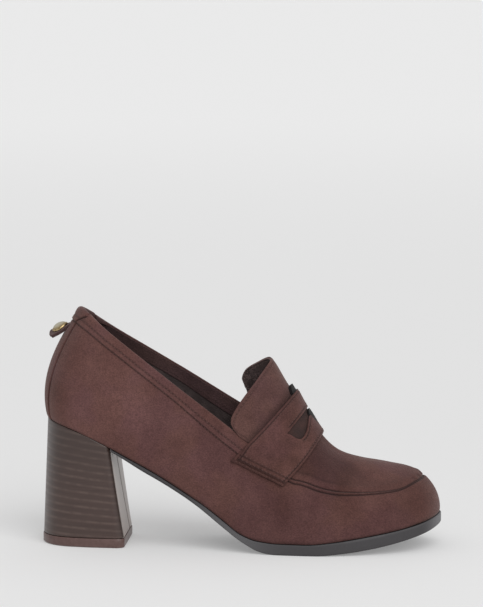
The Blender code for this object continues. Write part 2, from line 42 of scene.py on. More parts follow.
# The last: the same sections as the solids, in millimetres
last = {
    # x, yOuter, yInner of the feather edge, from the back of the heel to the tip of the toe
    "feet": (
        (-117, 0, 0), (-109.8, -17.2, 17.2), (-92, -24.9, 24.7), (-68, -26.5, 25), (-44, -27.5, 22.6),
        (-24, -29.5, 22.2), (-6, -33, 26), (12, -36.8, 32), (32, -39.7, 37.3), (53, -40.3, 39.4),
        (74, -37, 37.6), (97, -29.3, 32.3), (113, -16.8, 21.8), (119.6, 3, 3),
    ),
    # x, yOuter, zOuter, yInner, zInner of the topline
    "topline": (
        (-96, 0, 143, 0, 143), (-91, -12.5, 140.7, 12.5, 138), (-79, -22, 131.6, 22, 128.1),
        (-61, -26, 117.9, 25.5, 117), (-43, -28, 104, 27, 106.2), (-24, -29.5, 89.4, 27.5, 95.2),
        (-6, -31, 75.3, 28, 84.7), (12, -33, 61.5, 30, 74.5),
    ),
    # x, y, z of the ridge over the instep and vamp, from section 4 on
    "firstRidge": 4,
    "ridge": (
        (3, 0, 133), (17.2, 0, 114.6), (27, 0, 98.8), (37, 0, 83.5), (47.5, 0.5, 67.8),
        (58, 1.2, 57.7), (72, 2, 52.7), (85, 2.6, 50.4), (93.5, 3, 49), (97.8, 3, 48.2),
    ),
    # flare, pull at the foot, pitch at the top, pull at the top
    "quarterShape": (
        (15, 0.35, 53, 0.35), (14, 0.35, 60, 0.33), (11, 0.34, 70, 0.32), (9, 0.33, 78, 0.32),
        (8, 0.33, 80, 0.32), (6, 0.33, 80, 0.32), (5, 0.33, 80, 0.32),
    ),
    # flare, pull at the foot, pull at the top, turn at the top, height of the apron seam
    "vampShape": (
        (5, 0.38, 0.25, 0, 0.36), (5, 0.38, 0.26, 0, 0.36), (4, 0.38, 0.27, 0, 0.36),
        (4, 0.37, 0.29, 0, 0.36), (4, 0.36, 0.31, 0, 0.43), (4, 0.36, 0.33, 0, 0.425),
        (5, 0.38, 0.34, 6, 0.42), (6, 0.40, 0.34, 22, 0.44), (6, 0.42, 0.33, 52, 0.55),
        (5, 0.42, 0.31, 90, 0.62),
    ),
    "vampDip": 0.15,  # slope where the toe's curve meets the ridge
    # x, z under the last and under the sole
    "underLast": (
        (-117.5, 76.5), (-105, 72.8), (-92, 68), (-80, 62.3), (-68, 56), (-50, 46.2), (-33, 35.7),
        (-20, 27.4), (-8, 18.5), (2, 11.3), (12, 7.9), (24, 6.8), (40, 6.7), (57, 8.2), (73, 10.6),
        (89, 13.2), (105, 16.4), (121, 20.7),
    ),
    "underSole": (
        (-80, 59), (-60, 48.6), (-43, 39.1), (-26, 28.2), (-10, 15.9), (0, 8.4), (6, 4.8), (12, 1.8),
        (18, 0.4), (23, 0), (46, 0), (65, 1.6), (81, 3.9), (97, 7.2), (110, 10.6), (122, 14.6),
    ),
    "throatStart": 6.0, "throatEnd": 7.67, "quarterToVamp": (4.2, 5.2),
}
feet = last["feet"]
tip = len(feet) - 1  # section number of the tip of the toe
turn = 2 * tip  # once round the foot
up = np.array((0.0, 0.0, 1.0))


def along(rows, place):  # smooth curve through a closed run of rows
    place = np.asarray(place, float)
    start = np.floor(place).astype(int)
    f = (place - start)[..., None]
    a, b, c, d = (rows[(start + step) % len(rows)] for step in (-1, 0, 1, 2))
    return 0.5 * (2 * b + (c - a) * f + (2 * a - 5 * b + 4 * c - d) * f**2 + (3 * b - a - 3 * c + d) * f**3)


def graph(table, x):  # smooth curve through rows of x and value, with no overshoot
    xs, ys = np.array(table, float).T
    steps = np.diff(ys) / np.diff(xs)
    both = steps[:-1] * steps[1:]
    mean = np.where(both > 0, 2 * both / np.where(both > 0, steps[:-1] + steps[1:], 1), 0)
    slopes = np.concatenate(([steps[0]], mean, [steps[-1]]))
    k = np.clip(np.searchsorted(xs, x) - 1, 0, len(xs) - 2)
    width = xs[k + 1] - xs[k]
    f = (np.asarray(x, float) - xs[k]) / width
    rise = f * f * (3 - 2 * f)
    bend = width * (slopes[k] * f * (1 - f) ** 2 - slopes[k + 1] * f * f * (1 - f))
    return ys[k] * (1 - rise) + ys[k + 1] * rise + bend


def ease(low, high, value):  # from 0 at low to 1 at high
    f = np.clip((np.asarray(value, float) - low) / (high - low), 0, 1)
    return f * f * (3 - 2 * f)


def hump(distance, width):  # 1 in the middle of a line, fading over its width
    return np.exp(-((np.asarray(distance, float) / width) ** 2))


def rolled(gap, depth, width):  # how far an edge is pressed down, so far in from it
    return depth * np.clip(1 - gap / width, 0, 1) ** 2


def darkest(*marks):
    dark = 0.0
    for values in marks:
        dark = np.maximum(dark, values)
    return dark


def unit(way):
    return way / np.linalg.norm(way, axis=-1, keepdims=True)


def raised(plan, height):  # plan points with their heights
    return np.concatenate((plan, height[..., None]), axis=-1)


def lengthsAlong(points, axis=0):  # lengths from the first row or column
    steps = np.linalg.norm(np.diff(points, axis=axis), axis=-1)
    return np.insert(np.cumsum(steps, axis=axis), 0, 0.0, axis=axis)


def fromTop(points):  # lengths from the last row
    return lengthsAlong(points[::-1])[::-1]


def ringOf(outer, inner):  # outer side forward, inner side back again
    return np.array(list(outer) + list(inner)[-2:0:-1], float)


def padded(key, front=0):  # the first and last rows repeated, up to one row for each section
    rows = list(last[key])
    return [rows[0]] * front + rows + [rows[-1]] * (tip + 1 - front - len(rows))


tops, quarters = padded("topline"), padded("quarterShape")
ridge, vamps = (padded(key, last["firstRidge"]) for key in ("ridge", "vampShape"))
footRing = ringOf([r[:2] for r in feet], [r[::2] for r in feet])
topRing = ringOf([r[:3] for r in tops], [(r[0], r[3], r[4]) for r in tops])
ridgeRing, quarterRing, vampRing = (ringOf(rows, rows) for rows in (ridge, quarters, vamps))


def lastAt(x):  # height of the last's underside
    return graph(last["underLast"], x)


def sectionOf(place):  # section number, and the way inwards along Y
    place = np.mod(place, turn)
    outer = place <= tip
    return np.where(outer, place, turn - place), np.where(outer, 1.0, -1.0)


def outwardAt(place):
    way = unit(along(footRing, np.asarray(place) + 0.02) - along(footRing, np.asarray(place) - 0.02))
    return np.stack((way[..., 1], -way[..., 0], np.zeros_like(way[..., 0])), axis=-1)


def outlineAt(place, offset):  # plan of the feather edge, moved outwards
    return along(footRing, place) + outwardAt(place)[..., :2] * offset


def sectionAt(x):  # section where the feather edge reaches x
    stops = np.linspace(1, 12, 2201)
    return float(np.interp(x, along(footRing, stops)[:, 0], stops))


def partsOf(rows, place):  # the columns of a ring, one by one
    return (v[..., None] for v in np.moveaxis(along(rows, place), -1, 0))


def rib(place, f, top, arrive, flare, footPull, topPull):  # a curve up the wall from the feather edge
    plan = along(footRing, place)
    low = raised(plan, lastAt(plan[..., 0]))
    reach = np.linalg.norm(top - low, axis=-1, keepdims=True)
    rise = outwardAt(place) * np.sin(np.radians(flare)) + up * np.cos(np.radians(flare))
    f = np.asarray(f, float)[..., None]
    g = 1 - f
    b, c = low + rise * reach * footPull, top - arrive * reach * topPull
    return low * g**3 + b * 3 * g * g * f + c * 3 * g * f * f + top * f**3


def quarterAt(place, f):
    flare, footPull, pitch, topPull = partsOf(quarterRing, place)
    arrive = up * np.sin(np.radians(pitch)) - outwardAt(place) * np.cos(np.radians(pitch))
    return rib(place, f, along(topRing, place), arrive, flare, footPull, topPull)


def vampAt(place, f):
    _, inward = sectionOf(place)
    flare, footPull, topPull, swing, _ = partsOf(vampRing, place)
    back, across = np.sin(np.radians(swing)), inward[..., None] * np.cos(np.radians(swing))
    arrive = np.concatenate((-back, across, last["vampDip"] * back), axis=-1)
    return rib(place, f, along(ridgeRing, place), arrive, flare, footPull, topPull)


def toplineShare(place):  # how far up the vamp's wall the topline crosses it
    place = np.asarray(place, float)
    _, inward = sectionOf(place)
    outer, inner = ([(r[0], r[k]) for r in last["topline"]] for k in (2, 4))
    low, high = np.full(place.shape, 0.1), np.full(place.shape, 0.9)
    for _ in range(40):
        mid = (low + high) / 2
        spot = vampAt(place, mid)
        line = np.where(inward > 0, graph(outer, spot[..., 0]), graph(inner, spot[..., 0]))
        below = spot[..., 2] < line
        low, high = np.where(below, mid, low), np.where(below, high, mid)
    return (low + high) / 2


def topShareAt(place):  # how far up the vamp's wall the upper goes
    number, inward = sectionOf(place)
    start, end = last["throatStart"], last["throatEnd"]
    corner = np.where(inward > 0, toplineShare(start), toplineShare(turn - start))
    way = np.clip((number - start) / (end - start), 0, 1)
    throat = corner + (1 - corner) * (1 - np.sqrt(1 - way * way))
    return np.where(number <= start, toplineShare(place), throat)


shareStops = np.linspace(0, turn, turn * 100 + 1)
shareTable = topShareAt(shareStops)


def shareAt(place):  # the same, from the table
    return np.interp(np.mod(place, turn), shareStops, shareTable)


def wallAt(place, f):  # the upper's surface, from the feather edge (0) to its top edge (1)
    number, _ = sectionOf(place)
    mix = ease(*last["quarterToVamp"], number)[..., None]
    return quarterAt(place, f) * (1 - mix) + vampAt(place, f * shareAt(place)) * mix


def normalAt(surface, place, f):
    mid = np.clip(f, 0.01, 0.985)
    du = surface(place + 0.02, mid) - surface(place - 0.02, mid)
    dv = surface(place, mid + 0.01) - surface(place, mid - 0.01)
    return unit(np.cross(du, dv))


def liftedAt(surface, place, f, offset):
    place, f = np.asarray(place, float), np.asarray(f, float)
    offset = np.broadcast_to(offset, place.shape)[..., None]
    return surface(place, f) + normalAt(surface, place, f) * offset


def lengthsAt(place, count=61):  # shares up the wall, and a run of lengths for each place
    shares = np.linspace(0, 1, count)
    grid = wallAt(np.repeat(place[:, None], count, 1), np.repeat(shares[None], len(place), 0))
    return shares, lengthsAlong(grid, 1)


print("last worked out")


# Mesh helpers
def pick(piece):  # only this piece is selected and active
    bpy.ops.object.select_all(action="DESELECT")
    piece.select_set(True)
    bpy.context.view_layer.objects.active = piece


def layGrid(name, points, *materials, **marks):  # a grid pulled onto points[row, column], in millimetres
    rows, columns = points.shape[:2]
    bpy.ops.object.select_all(action="DESELECT")
    bpy.ops.mesh.primitive_grid_add(x_subdivisions=columns - 1, y_subdivisions=rows - 1, size=1)
    piece = bpy.context.object
    piece.name = piece.data.name = name
    piece.data.vertices.foreach_set("co", (points * mm).ravel())
    piece.data.update()
    for made in materials:  # before any wall is added, so that its back and rim find their own
        piece.data.materials.append(made)
    for key, values in marks.items():  # a number for each point, read by the material
        values = np.broadcast_to(values, (rows, columns)).astype(np.float32)
        piece.data.attributes.new(key, "FLOAT", "POINT").data.foreach_set("value", values.ravel())
    return piece


def weld(piece, closed=False):  # merges doubles; a closed piece gets its ends filled and faces turned out
    pick(piece)
    bpy.ops.object.mode_set(mode="EDIT")
    bpy.ops.mesh.select_all(action="SELECT")
    bpy.ops.mesh.remove_doubles(threshold=0.03 * mm)
    if closed:
        bpy.ops.mesh.select_all(action="DESELECT")
        bpy.ops.mesh.select_mode(type="EDGE")
        bpy.ops.mesh.select_non_manifold(extend=False, use_wire=False, use_multi_face=False,
                                         use_non_contiguous=False, use_verts=False)
        bpy.ops.mesh.fill_holes(sides=0)
        bpy.ops.mesh.select_mode(type="VERT")
        bpy.ops.mesh.select_all(action="SELECT")
        bpy.ops.mesh.normals_make_consistent(inside=False)
    bpy.ops.object.mode_set(mode="OBJECT")


def thicken(piece, thickness, side=-1.0, rim=0, back=0):  # a wall, with other materials on its rim and back
    pick(piece)
    wall = piece.modifiers.new("wall", "SOLIDIFY")
    wall.thickness = thickness * mm
    wall.offset = side
    wall.use_even_offset = False
    wall.use_quality_normals = True
    wall.material_offset = back
    wall.material_offset_rim = rim
    bpy.ops.object.modifier_apply(modifier=wall.name)


def addToScene(thing):
    bpy.context.scene.collection.objects.link(thing)
    return thing


def joined(name, *pieces):
    pick(pieces[0])
    for piece in pieces[1:]:
        piece.select_set(True)
    bpy.ops.object.join()
    pieces[0].name = pieces[0].data.name = name
    return pieces[0]


def dress(piece, angle, node=None):  # body, the solid it replaces, and shading
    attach(piece, "root")
    if node:
        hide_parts(node)
    pick(piece)
    bpy.ops.object.shade_smooth_by_angle(angle=math.radians(angle))


# Material helpers
def rgb(r, g, b):  # 0 to 255 as on a screen, to linear light
    def linear(v):
        v = v / 255
        return v / 12.92 if v <= 0.04045 else ((v + 0.055) / 1.055) ** 2.4
    return (linear(r), linear(g), linear(b), 1.0)


def addNode(tree, kind, sockets=None, **values):  # sockets take values or links
    node = tree.nodes.new("ShaderNode" + kind)
    for key, value in values.items():
        setattr(node, key, value)
    for key, value in (sockets or {}).items():
        if isinstance(value, bpy.types.NodeSocket):
            tree.links.new(value, node.inputs[key])
        else:
            node.inputs[key].default_value = value
    return node


def objectPlace(tree):
    return addNode(tree, "TexCoord").outputs["Object"]


def markOf(tree, name):  # a piece's own numbers
    return addNode(tree, "Attribute", attribute_name=name).outputs["Fac"]


def mapped(tree, place, **sockets):
    return addNode(tree, "Mapping", {"Vector": place, **sockets}).outputs["Vector"]


def noiseAt(tree, vector, scale, detail=3.0, rough=0.55):
    sockets = {"Vector": vector, "Scale": scale, "Detail": detail, "Roughness": rough}
    return addNode(tree, "TexNoise", sockets).outputs["Fac"]


def cellEdges(tree, vector, scale, **sockets):
    sockets = {"Vector": vector, "Scale": scale, **sockets}
    return addNode(tree, "TexVoronoi", sockets, feature="DISTANCE_TO_EDGE").outputs["Distance"]


def spread(tree, value, low, high, start=0.0, end=1.0):
    sockets = {"Value": value, "From Min": low, "From Max": high, "To Min": start, "To Max": end}
    return addNode(tree, "MapRange", sockets, interpolation_type="SMOOTHSTEP").outputs["Result"]


def calc(tree, operation, *values):
    return addNode(tree, "Math", dict(enumerate(values)), operation=operation).outputs["Value"]


def weighed(tree, a, shareA, b, shareB):
    return calc(tree, "ADD", calc(tree, "MULTIPLY", a, shareA), calc(tree, "MULTIPLY", b, shareB))


def blendColor(tree, factor, a, b, kind="MIX"):
    return addNode(tree, "Mix", {0: factor, 6: a, 7: b}, data_type="RGBA", blend_type=kind).outputs[2]


def colorOf(tree, red, green, blue):
    return addNode(tree, "CombineColor", {"Red": red, "Green": green, "Blue": blue}).outputs["Color"]


def newMaterial(name, color=(0.5, 0.5, 0.5, 1), rough=0.5, **sockets):
    made = bpy.data.materials.new(name)
    made.use_nodes = True
    shader = made.node_tree.nodes["Principled BSDF"]
    for key, value in {"Base_Color": color, "Roughness": rough, **sockets}.items():
        shader.inputs[key.replace("_", " ")].default_value = value
    return made, made.node_tree, shader


def feed(tree, shader, **links):
    for key, value in links.items():
        tree.links.new(value, shader.inputs[key.replace("_", " ")])


def bumpInto(tree, shader, height, strength, distance):
    node = addNode(tree, "Bump", {"Height": height, "Strength": strength, "Distance": distance})
    feed(tree, shader, Normal=node.outputs["Normal"])


# Hides
def buildNap():  # soft patches, mottling and the fine grain of the hide's nap, with painted shade in grooves, edges and shadows, and painted light and shade patches partly from the nap
    group = bpy.data.node_groups.new("brushedNap", "ShaderNodeTree")
    sides = {"INPUT": ("Color", "Shade", "Painted Shade", "Painted Light And Nap", "Patch Size"),
             "OUTPUT": ("Color", "Height", "Roughness")}
    for side, names in sides.items():
        for name in names:
            kind = "NodeSocketColor" if name in ("Color", "Shade") else "NodeSocketFloat"
            group.interface.new_socket(name=name, in_out=side, socket_type=kind)
    given, out = group.nodes.new("NodeGroupInput").outputs, group.nodes.new("NodeGroupOutput").inputs
    place = objectPlace(group)
    sized = addNode(group, "VectorMath", {"Vector": place, "Scale": given["Patch Size"]}, operation="SCALE")
    sized = sized.outputs["Vector"]
    patches = spread(group, noiseAt(group, sized, 48, 3, 0.5), 0.36, 0.64)
    mottle = spread(group, noiseAt(group, place, 210, 4, 0.6), 0.3, 0.7)
    fibres = noiseAt(group, mapped(group, place, Scale=(950, 950, 1250)), 1.0, 3, 0.6)
    grain = noiseAt(group, place, 1500, 2, 0.7)
    color = blendColor(group, weighed(group, patches, 0.55, mottle, 0.45), given["Shade"], given["Color"])
    cool = spread(group, noiseAt(group, sized, 34, 2, 0.5), 0.4, 0.6)
    tint = blendColor(group, cool, (1.02, 1.01, 0.97, 1), (0.985, 0.975, 1.04, 1))
    color = blendColor(group, 1.0, color, tint, "MULTIPLY")
    fuzz = spread(group, weighed(group, grain, 0.5, fibres, 0.5), 0.32, 0.68, 0.75, 1.25)
    lifts = []
    for share in (0.98, 1.13, 1.22):  # red, green and blue of the painted light and shade patches
        lifts.append(calc(group, "MULTIPLY", fuzz, calc(group, "MULTIPLY_ADD", given["Painted Light And Nap"], share, 1.0)))
    color = blendColor(group, 1.0, color, colorOf(group, *lifts), "MULTIPLY")
    # painted shade: the colour mixed in where grooves, edges and shadows are marked
    dark = blendColor(group, 0.86, color, (0.012, 0.006, 0.006, 1))
    group.links.new(blendColor(group, given["Painted Shade"], color, dark), out["Color"])
    group.links.new(weighed(group, grain, 0.4, fibres, 1.0), out["Height"])
    group.links.new(spread(group, patches, 0, 1, 0.98, 0.86), out["Roughness"])
    return group


nap = buildNap()


def suede(name, color, shade, patch=1.0):
    made, tree, shader = newMaterial(name, Sheen_Weight=0.2, Sheen_Roughness=0.45,
                                     Sheen_Tint=(1.0, 0.82, 0.78, 1), Specular_IOR_Level=0.18)
    sockets = {"Color": color, "Shade": shade, "Patch Size": patch,
               "Painted Shade": markOf(tree, "crease"), "Painted Light And Nap": markOf(tree, "brushed")}
    hide = addNode(tree, "Group", sockets, node_tree=nap).outputs
    feed(tree, shader, Base_Color=hide["Color"], Roughness=hide["Roughness"])
    bumpInto(tree, shader, hide["Height"], 0.55, 0.0006)
    return made


def smoothLeather(name, color, rough, bump=0.25, crinkle=0.0, wrinkle=0.0):
    made, tree, shader = newMaterial(name, color, rough, Specular_IOR_Level=0.35)
    place = objectPlace(tree)
    pores = spread(tree, cellEdges(tree, place, 900), 0, 0.25)
    folds = noiseAt(tree, place, 130, 3, 0.6)
    tone = spread(tree, folds, 0.3, 0.7, 0.7, 1.25)
    if wrinkle:  # fine light lines
        edge = calc(tree, "ABSOLUTE", calc(tree, "SUBTRACT", folds, 0.5))
        tone = calc(tree, "ADD", tone, spread(tree, edge, 0.0, 0.025, wrinkle, 0.0))
    shaded = blendColor(tree, 1.0, color, colorOf(tree, tone, tone, tone), "MULTIPLY")
    worn = spread(tree, folds, 0.25, 0.75, rough - 0.08, rough + 0.1)
    feed(tree, shader, Base_Color=shaded, Roughness=worn)
    bumpInto(tree, shader, weighed(tree, pores, 0.3, folds, crinkle), bump, 0.0008)
    return made


upperSuede = suede("upperSuede", rgb(88, 59, 55), rgb(77, 51, 48))
tongueSuede = suede("tongueSuede", rgb(90, 63, 59), rgb(77, 53, 50))
strapSuede = suede("strapSuede", rgb(90, 60, 56), rgb(71, 47, 43))
tabSuede = suede("tabSuede", rgb(84, 62, 60), rgb(70, 52, 50), patch=2.0)
facingSuede = suede("facingSuede", rgb(76, 56, 55), rgb(63, 46, 45))
innerLining = smoothLeather("innerLining", rgb(64, 53, 52), 0.62)
tongueLining = smoothLeather("tongueLining", rgb(74, 61, 60), 0.5, crinkle=1.6, bump=0.8, wrinkle=0.9)
sockLeather = smoothLeather("sockLeather", rgb(74, 66, 66), 0.6)
edgePaint = smoothLeather("edgePaint", rgb(46, 33, 31), 0.7, bump=0.15)
# black edge paint and painted shade, for the slabs over the strap's ridge
blackEdgeShading = smoothLeather("blackEdgeShading", rgb(22, 18, 18), 0.6, bump=0.15)
# painted shade on the vamp seen through the keeper's slot
slotShade = smoothLeather("slotShade", rgb(56, 38, 35), 0.9)
print("hides made")


# Upper: one wall from the feather edge to the topline, with its seams and folds raised on it
upperCut = {
    "wall": 0.5, "roll": 1.15, "rollBack": 1.4, "tuckHeight": 2.6, "tuckDepth": 0.5,
    "bandWidth": 9.4, "bandStep": 0.7, "bandEnd": (5.95, 6.25), "bandStitch": 6.2,
    "seamFrom": 7.75, "seamStart": (7.3, 7.45), "seamRise": 0.55, "seamGroove": 0.55,
    "seamHalf": 1.15, "seamClose": 0.7, "padIn": 4.4, "padRise": 0.45, "padLine": 6.2, "padEnd": (8.8, 10.0),
    "gatherIn": 2.6, "gatherStep": 5.0, "gatherDepth": 0.45, "shadeEnd": 8.8, "shadeSlant": 2.4,
    "stripEdge": 0.62, "stripTop": 0.52, "stripStep": 0.55, "stripCap": 0.6, "stripScale": 26.0,
    # how much painted shade each groove, line and shadowed place gets, from 0 to 1
    "dark": {"seam": 0.92, "band": 0.62, "stitch": 0.75, "pad": 0.5, "gather": 0.45, "apron": 0.3,
             "shade": 0.28, "strip": 0.5, "stripTop": 0.3, "feather": 0.3, "waist": 0.2, "roll": 0.7},
    # x and z of both ends, width, depth, side (-1 outer, 1 inner, 0 both)
    "folds": (
        (44, 36, 34, 12, 5.5, 0.70, -1), (58, 34, 63, 14, 6.5, 0.55, 0), (48, 64, 73, 42, 6, 0.60, 0),
        (-88, 112, -98, 78, 6.5, 0.55, 0), (-20, 62, -6, 28, 7, 0.50, 0), (-60, 94, -50, 60, 8, 0.40, 0),
        (98, 36, 106, 20, 5, 0.40, 0),
    ),
    # x, z, width and amount of painted light and painted shade patches, partly the nap's own tone
    "patches": (
        (-75, 86, 50, 0.40), (84, 43, 13, 0.16), (113, 22, 6, 0.10), (29, 27, 9, -0.24), (59, 34, 9, -0.12),
        (62, 43, 8, -0.16), (101, 25, 9, -0.10), (-109, 94, 10, -0.22), (-73, 62, 10, -0.12),
        (-14, 45, 22, 0.12), (100, 34, 14, -0.12), (46, 56, 10, -0.16),
    ),
}


def brushedAt(points):  # painted light and shade patches, partly the nap's own tone, placed as seen from the side
    spot = points[..., (0, 2)]
    return sum(amount * hump(np.linalg.norm(spot - (x, z), axis=-1), width)
               for x, z, width, amount in upperCut["patches"])


def foldsAt(points):  # soft troughs across the hide, each along a line seen from the side
    depth = np.zeros(points.shape[:-1])
    spot = points[..., (0, 2)]
    for x0, z0, x1, z1, width, deep, side in upperCut["folds"]:
        a, run = np.array((x0, z0)), np.array((x1 - x0, z1 - z0))
        share = np.clip(((spot - a) @ run) / (run @ run), 0, 1)
        gap = np.linalg.norm(spot - a - share[..., None] * run, axis=-1)
        here = 1.0 if side == 0 else ease(-4, 4, points[..., 1] * side)
        depth += here * deep * (hump(gap, width) - 0.45 * hump(gap - 1.9 * width, width))
    return depth


def stripEdgeAt(f):  # half width of the strip up the back, in sections: it flares at the topline
    return upperCut["stripEdge"] + upperCut["stripTop"] * ease(0.86, 1.0, f)


def upperColumns():
    edge = upperCut["stripEdge"]
    runs = ((0.0, edge - 0.05, 10), (edge - 0.05, edge + 0.09, 12), (edge + 0.09, 1.5, 10), (1.5, 12.4, 158))
    half = [np.linspace(a, b, n, endpoint=False) for a, b, n in runs]
    half = np.concatenate(half + [np.linspace(12.4, tip, 12)])
    return np.concatenate((half, turn - half[-2::-1]))


def slidPlaces(places, levels):  # columns near the back follow the strip's own edge
    number, inward = sectionOf(places)
    edge = upperCut["stripEdge"]
    share = np.where(number < edge, number / edge, 1 - ease(edge + 0.1, 2.8, number))
    return places[None] + (stripEdgeAt(levels) - edge) * (share * inward)[None]


def seamShareAt(places):  # share of the wall at the apron seam; behind the seam a soft line for the rows
    number, inward = sectionOf(places)
    near = np.maximum(number, upperCut["seamFrom"])
    share = along(vampRing, np.where(inward > 0, near, turn - near))[:, 4] / shareAt(places)
    return 0.45 + (np.minimum(share, 0.62) - 0.45) * ease(6.7, 7.25, number)


def rollAt(places):  # radius of the turned edge along the topline
    number, _ = sectionOf(places)
    return (upperCut["roll"] + upperCut["rollBack"] * ease(1.7, 0.7, number)) * ease(6.5, 6.0, number)


def upperLevels(places):  # the rows of each column, close together at its seams
    number, _ = sectionOf(places)
    shares, runs = lengthsAt(places)
    found = []
    for share, run, near, roll in zip(seamShareAt(places), runs, number, rollAt(places)):
        total = run[-1]
        seam = np.interp(share, shares, run)
        band = total - upperCut["bandWidth"]
        band += (0.8 * total - band) * ease(6.0, 7.4, near)
        stops = np.sort(np.concatenate((
            (seam - 4.5) * np.linspace(0, 1, 16, endpoint=False) ** 1.3,
            seam + np.linspace(-4.5, 4.5, 30, endpoint=False),
            np.linspace(seam + 4.5, band - 1.6, 12, endpoint=False),
            band + np.linspace(-1.6, 1.6, 13, endpoint=False),
            np.linspace(band + 1.6, total - roll, 9))))
        found.append((np.interp(stops, run, shares), stops - seam, stops - band, stops, total - stops))
    return (np.array(values).T for values in zip(*found))


def buildUpper():
    cut, dark = upperCut, upperCut["dark"]
    places = upperColumns()
    number, _ = sectionOf(places)
    levels, seamGap, bandGap, low, high = upperLevels(places)
    spots = slidPlaces(places, levels)
    base, out = wallAt(spots, levels), normalAt(wallAt, spots, levels)
    seamOn, bandOn = ease(*cut["seamStart"], number), 1 - ease(*cut["bandEnd"], number)
    padOn, toe = 1 - ease(*cut["padEnd"], number), ease(11.4, 12.7, number)
    half = cut["seamHalf"] - cut["seamClose"] * ease(8.8, 11.4, number)  # both rows meet at the toe
    grooves = hump(seamGap + half, 0.5) + hump(seamGap - half, 0.5)
    waves = 0.5 + 0.5 * np.cos(base[..., 1] * 2 * math.pi / cut["gatherStep"])
    gathers = hump(seamGap - cut["gatherIn"], 1.5) * ease(11.2, 12.3, number) * waves
    stripGap = (stripEdgeAt(levels) - sectionOf(spots)[0]) * cut["stripScale"]  # about millimetres
    ridgeFade = 1 - (number > last["throatEnd"] - 0.4) * ease(5.0, 1.5, high)
    relief = seamOn * (cut["seamRise"] * (1 - toe) * hump(seamGap, 0.8)
                       - cut["seamGroove"] * (1 + 0.4 * toe) * grooves
                       + cut["padRise"] * hump(seamGap - cut["padIn"], 2.2)
                       - 0.35 * padOn * hump(seamGap - cut["padLine"], 0.7))
    relief += bandOn * (cut["bandStep"] * ease(-0.2, 0.35, bandGap) - 0.3 * hump(bandGap + 0.45, 0.4)
                        - 0.22 * hump(high - cut["bandStitch"], 0.6))
    relief += (cut["stripStep"] + cut["stripCap"] * ease(0.88, 0.97, levels)) * ease(-0.3, 0.4, stripGap)
    relief -= (0.25 + 0.25 * ease(0, 1, bandGap)) * hump(stripGap + 0.5, 0.5)
    relief -= rolled(low, cut["tuckDepth"], cut["tuckHeight"])
    relief -= foldsAt(base) * ridgeFade + cut["gatherDepth"] * gathers
    points = base + out * relief[..., None]
    front = number >= last["throatEnd"]
    points[-1, front] = base[-1, front]
    rise = unit(base[-1] - wallAt(spots[-1], levels[-1] - 0.01))
    swing = np.linspace(0, math.pi, 10)[1:, None, None]
    radius = rollAt(places)[:, None]
    turned = points[-1] - out[-1] * radius * (1 - np.cos(swing)) + rise * radius * np.sin(swing)
    points = np.concatenate((points, turned))
    border = cut["shadeEnd"] + cut["shadeSlant"] * np.clip(high / 35, 0, 1)
    # painted shade: seam grooves, band line and stitch row, pad line, gathers, the darker apron, the strap's
    # shadow on the vamp, the back strip's edge and the feather edge
    lines = darkest(
        dark["seam"] * seamOn * np.clip(grooves, 0, 1),
        dark["band"] * bandOn * hump(bandGap + 0.3, 0.55),
        dark["stitch"] * bandOn * hump(high - cut["bandStitch"], 0.45),
        dark["pad"] * seamOn * padOn * hump(seamGap - cut["padLine"], 0.9),
        dark["gather"] * gathers,
        dark["apron"] * seamOn * hump(seamGap - 4, 4) * hump(number - 10.5, 0.9),
        dark["shade"] * seamOn * ease(border + 0.2, border - 0.5, number) * ease(3, 7, seamGap),
        (dark["strip"] + dark["stripTop"] * ease(0, 1, bandGap))
        * hump(stripGap + 0.35, 0.6) * ease(5, 9, low),
        (dark["feather"] + dark["waist"] * ease(2.6, 3.6, number)) * np.clip(1 - low / 1.3, 0, 1))
    inside = dark["roll"] * ease(1.2, 2.2, swing[..., 0]) * (radius[:, 0] > 0.05)  # painted shade on the rolled edge where it turns towards the lining
    piece = layGrid("upper_suede", points, upperSuede, innerLining,
                    crease=np.concatenate((lines, inside)), brushed=brushedAt(points))
    weld(piece)
    thicken(piece, cut["wall"], back=1)
    dress(piece, 55, "upper")
    print("upper:", len(piece.data.polygons), "faces")


buildUpper()


# Lining, with a suede facing along the topline
liningCut = {"offset": -1.82, "sheet": 0.35, "facing": 9.0, "facingStep": 0.25, "below": 0.9, "foot": 0.5,
             "facingRow": 28, "facingEnd": 6.2}


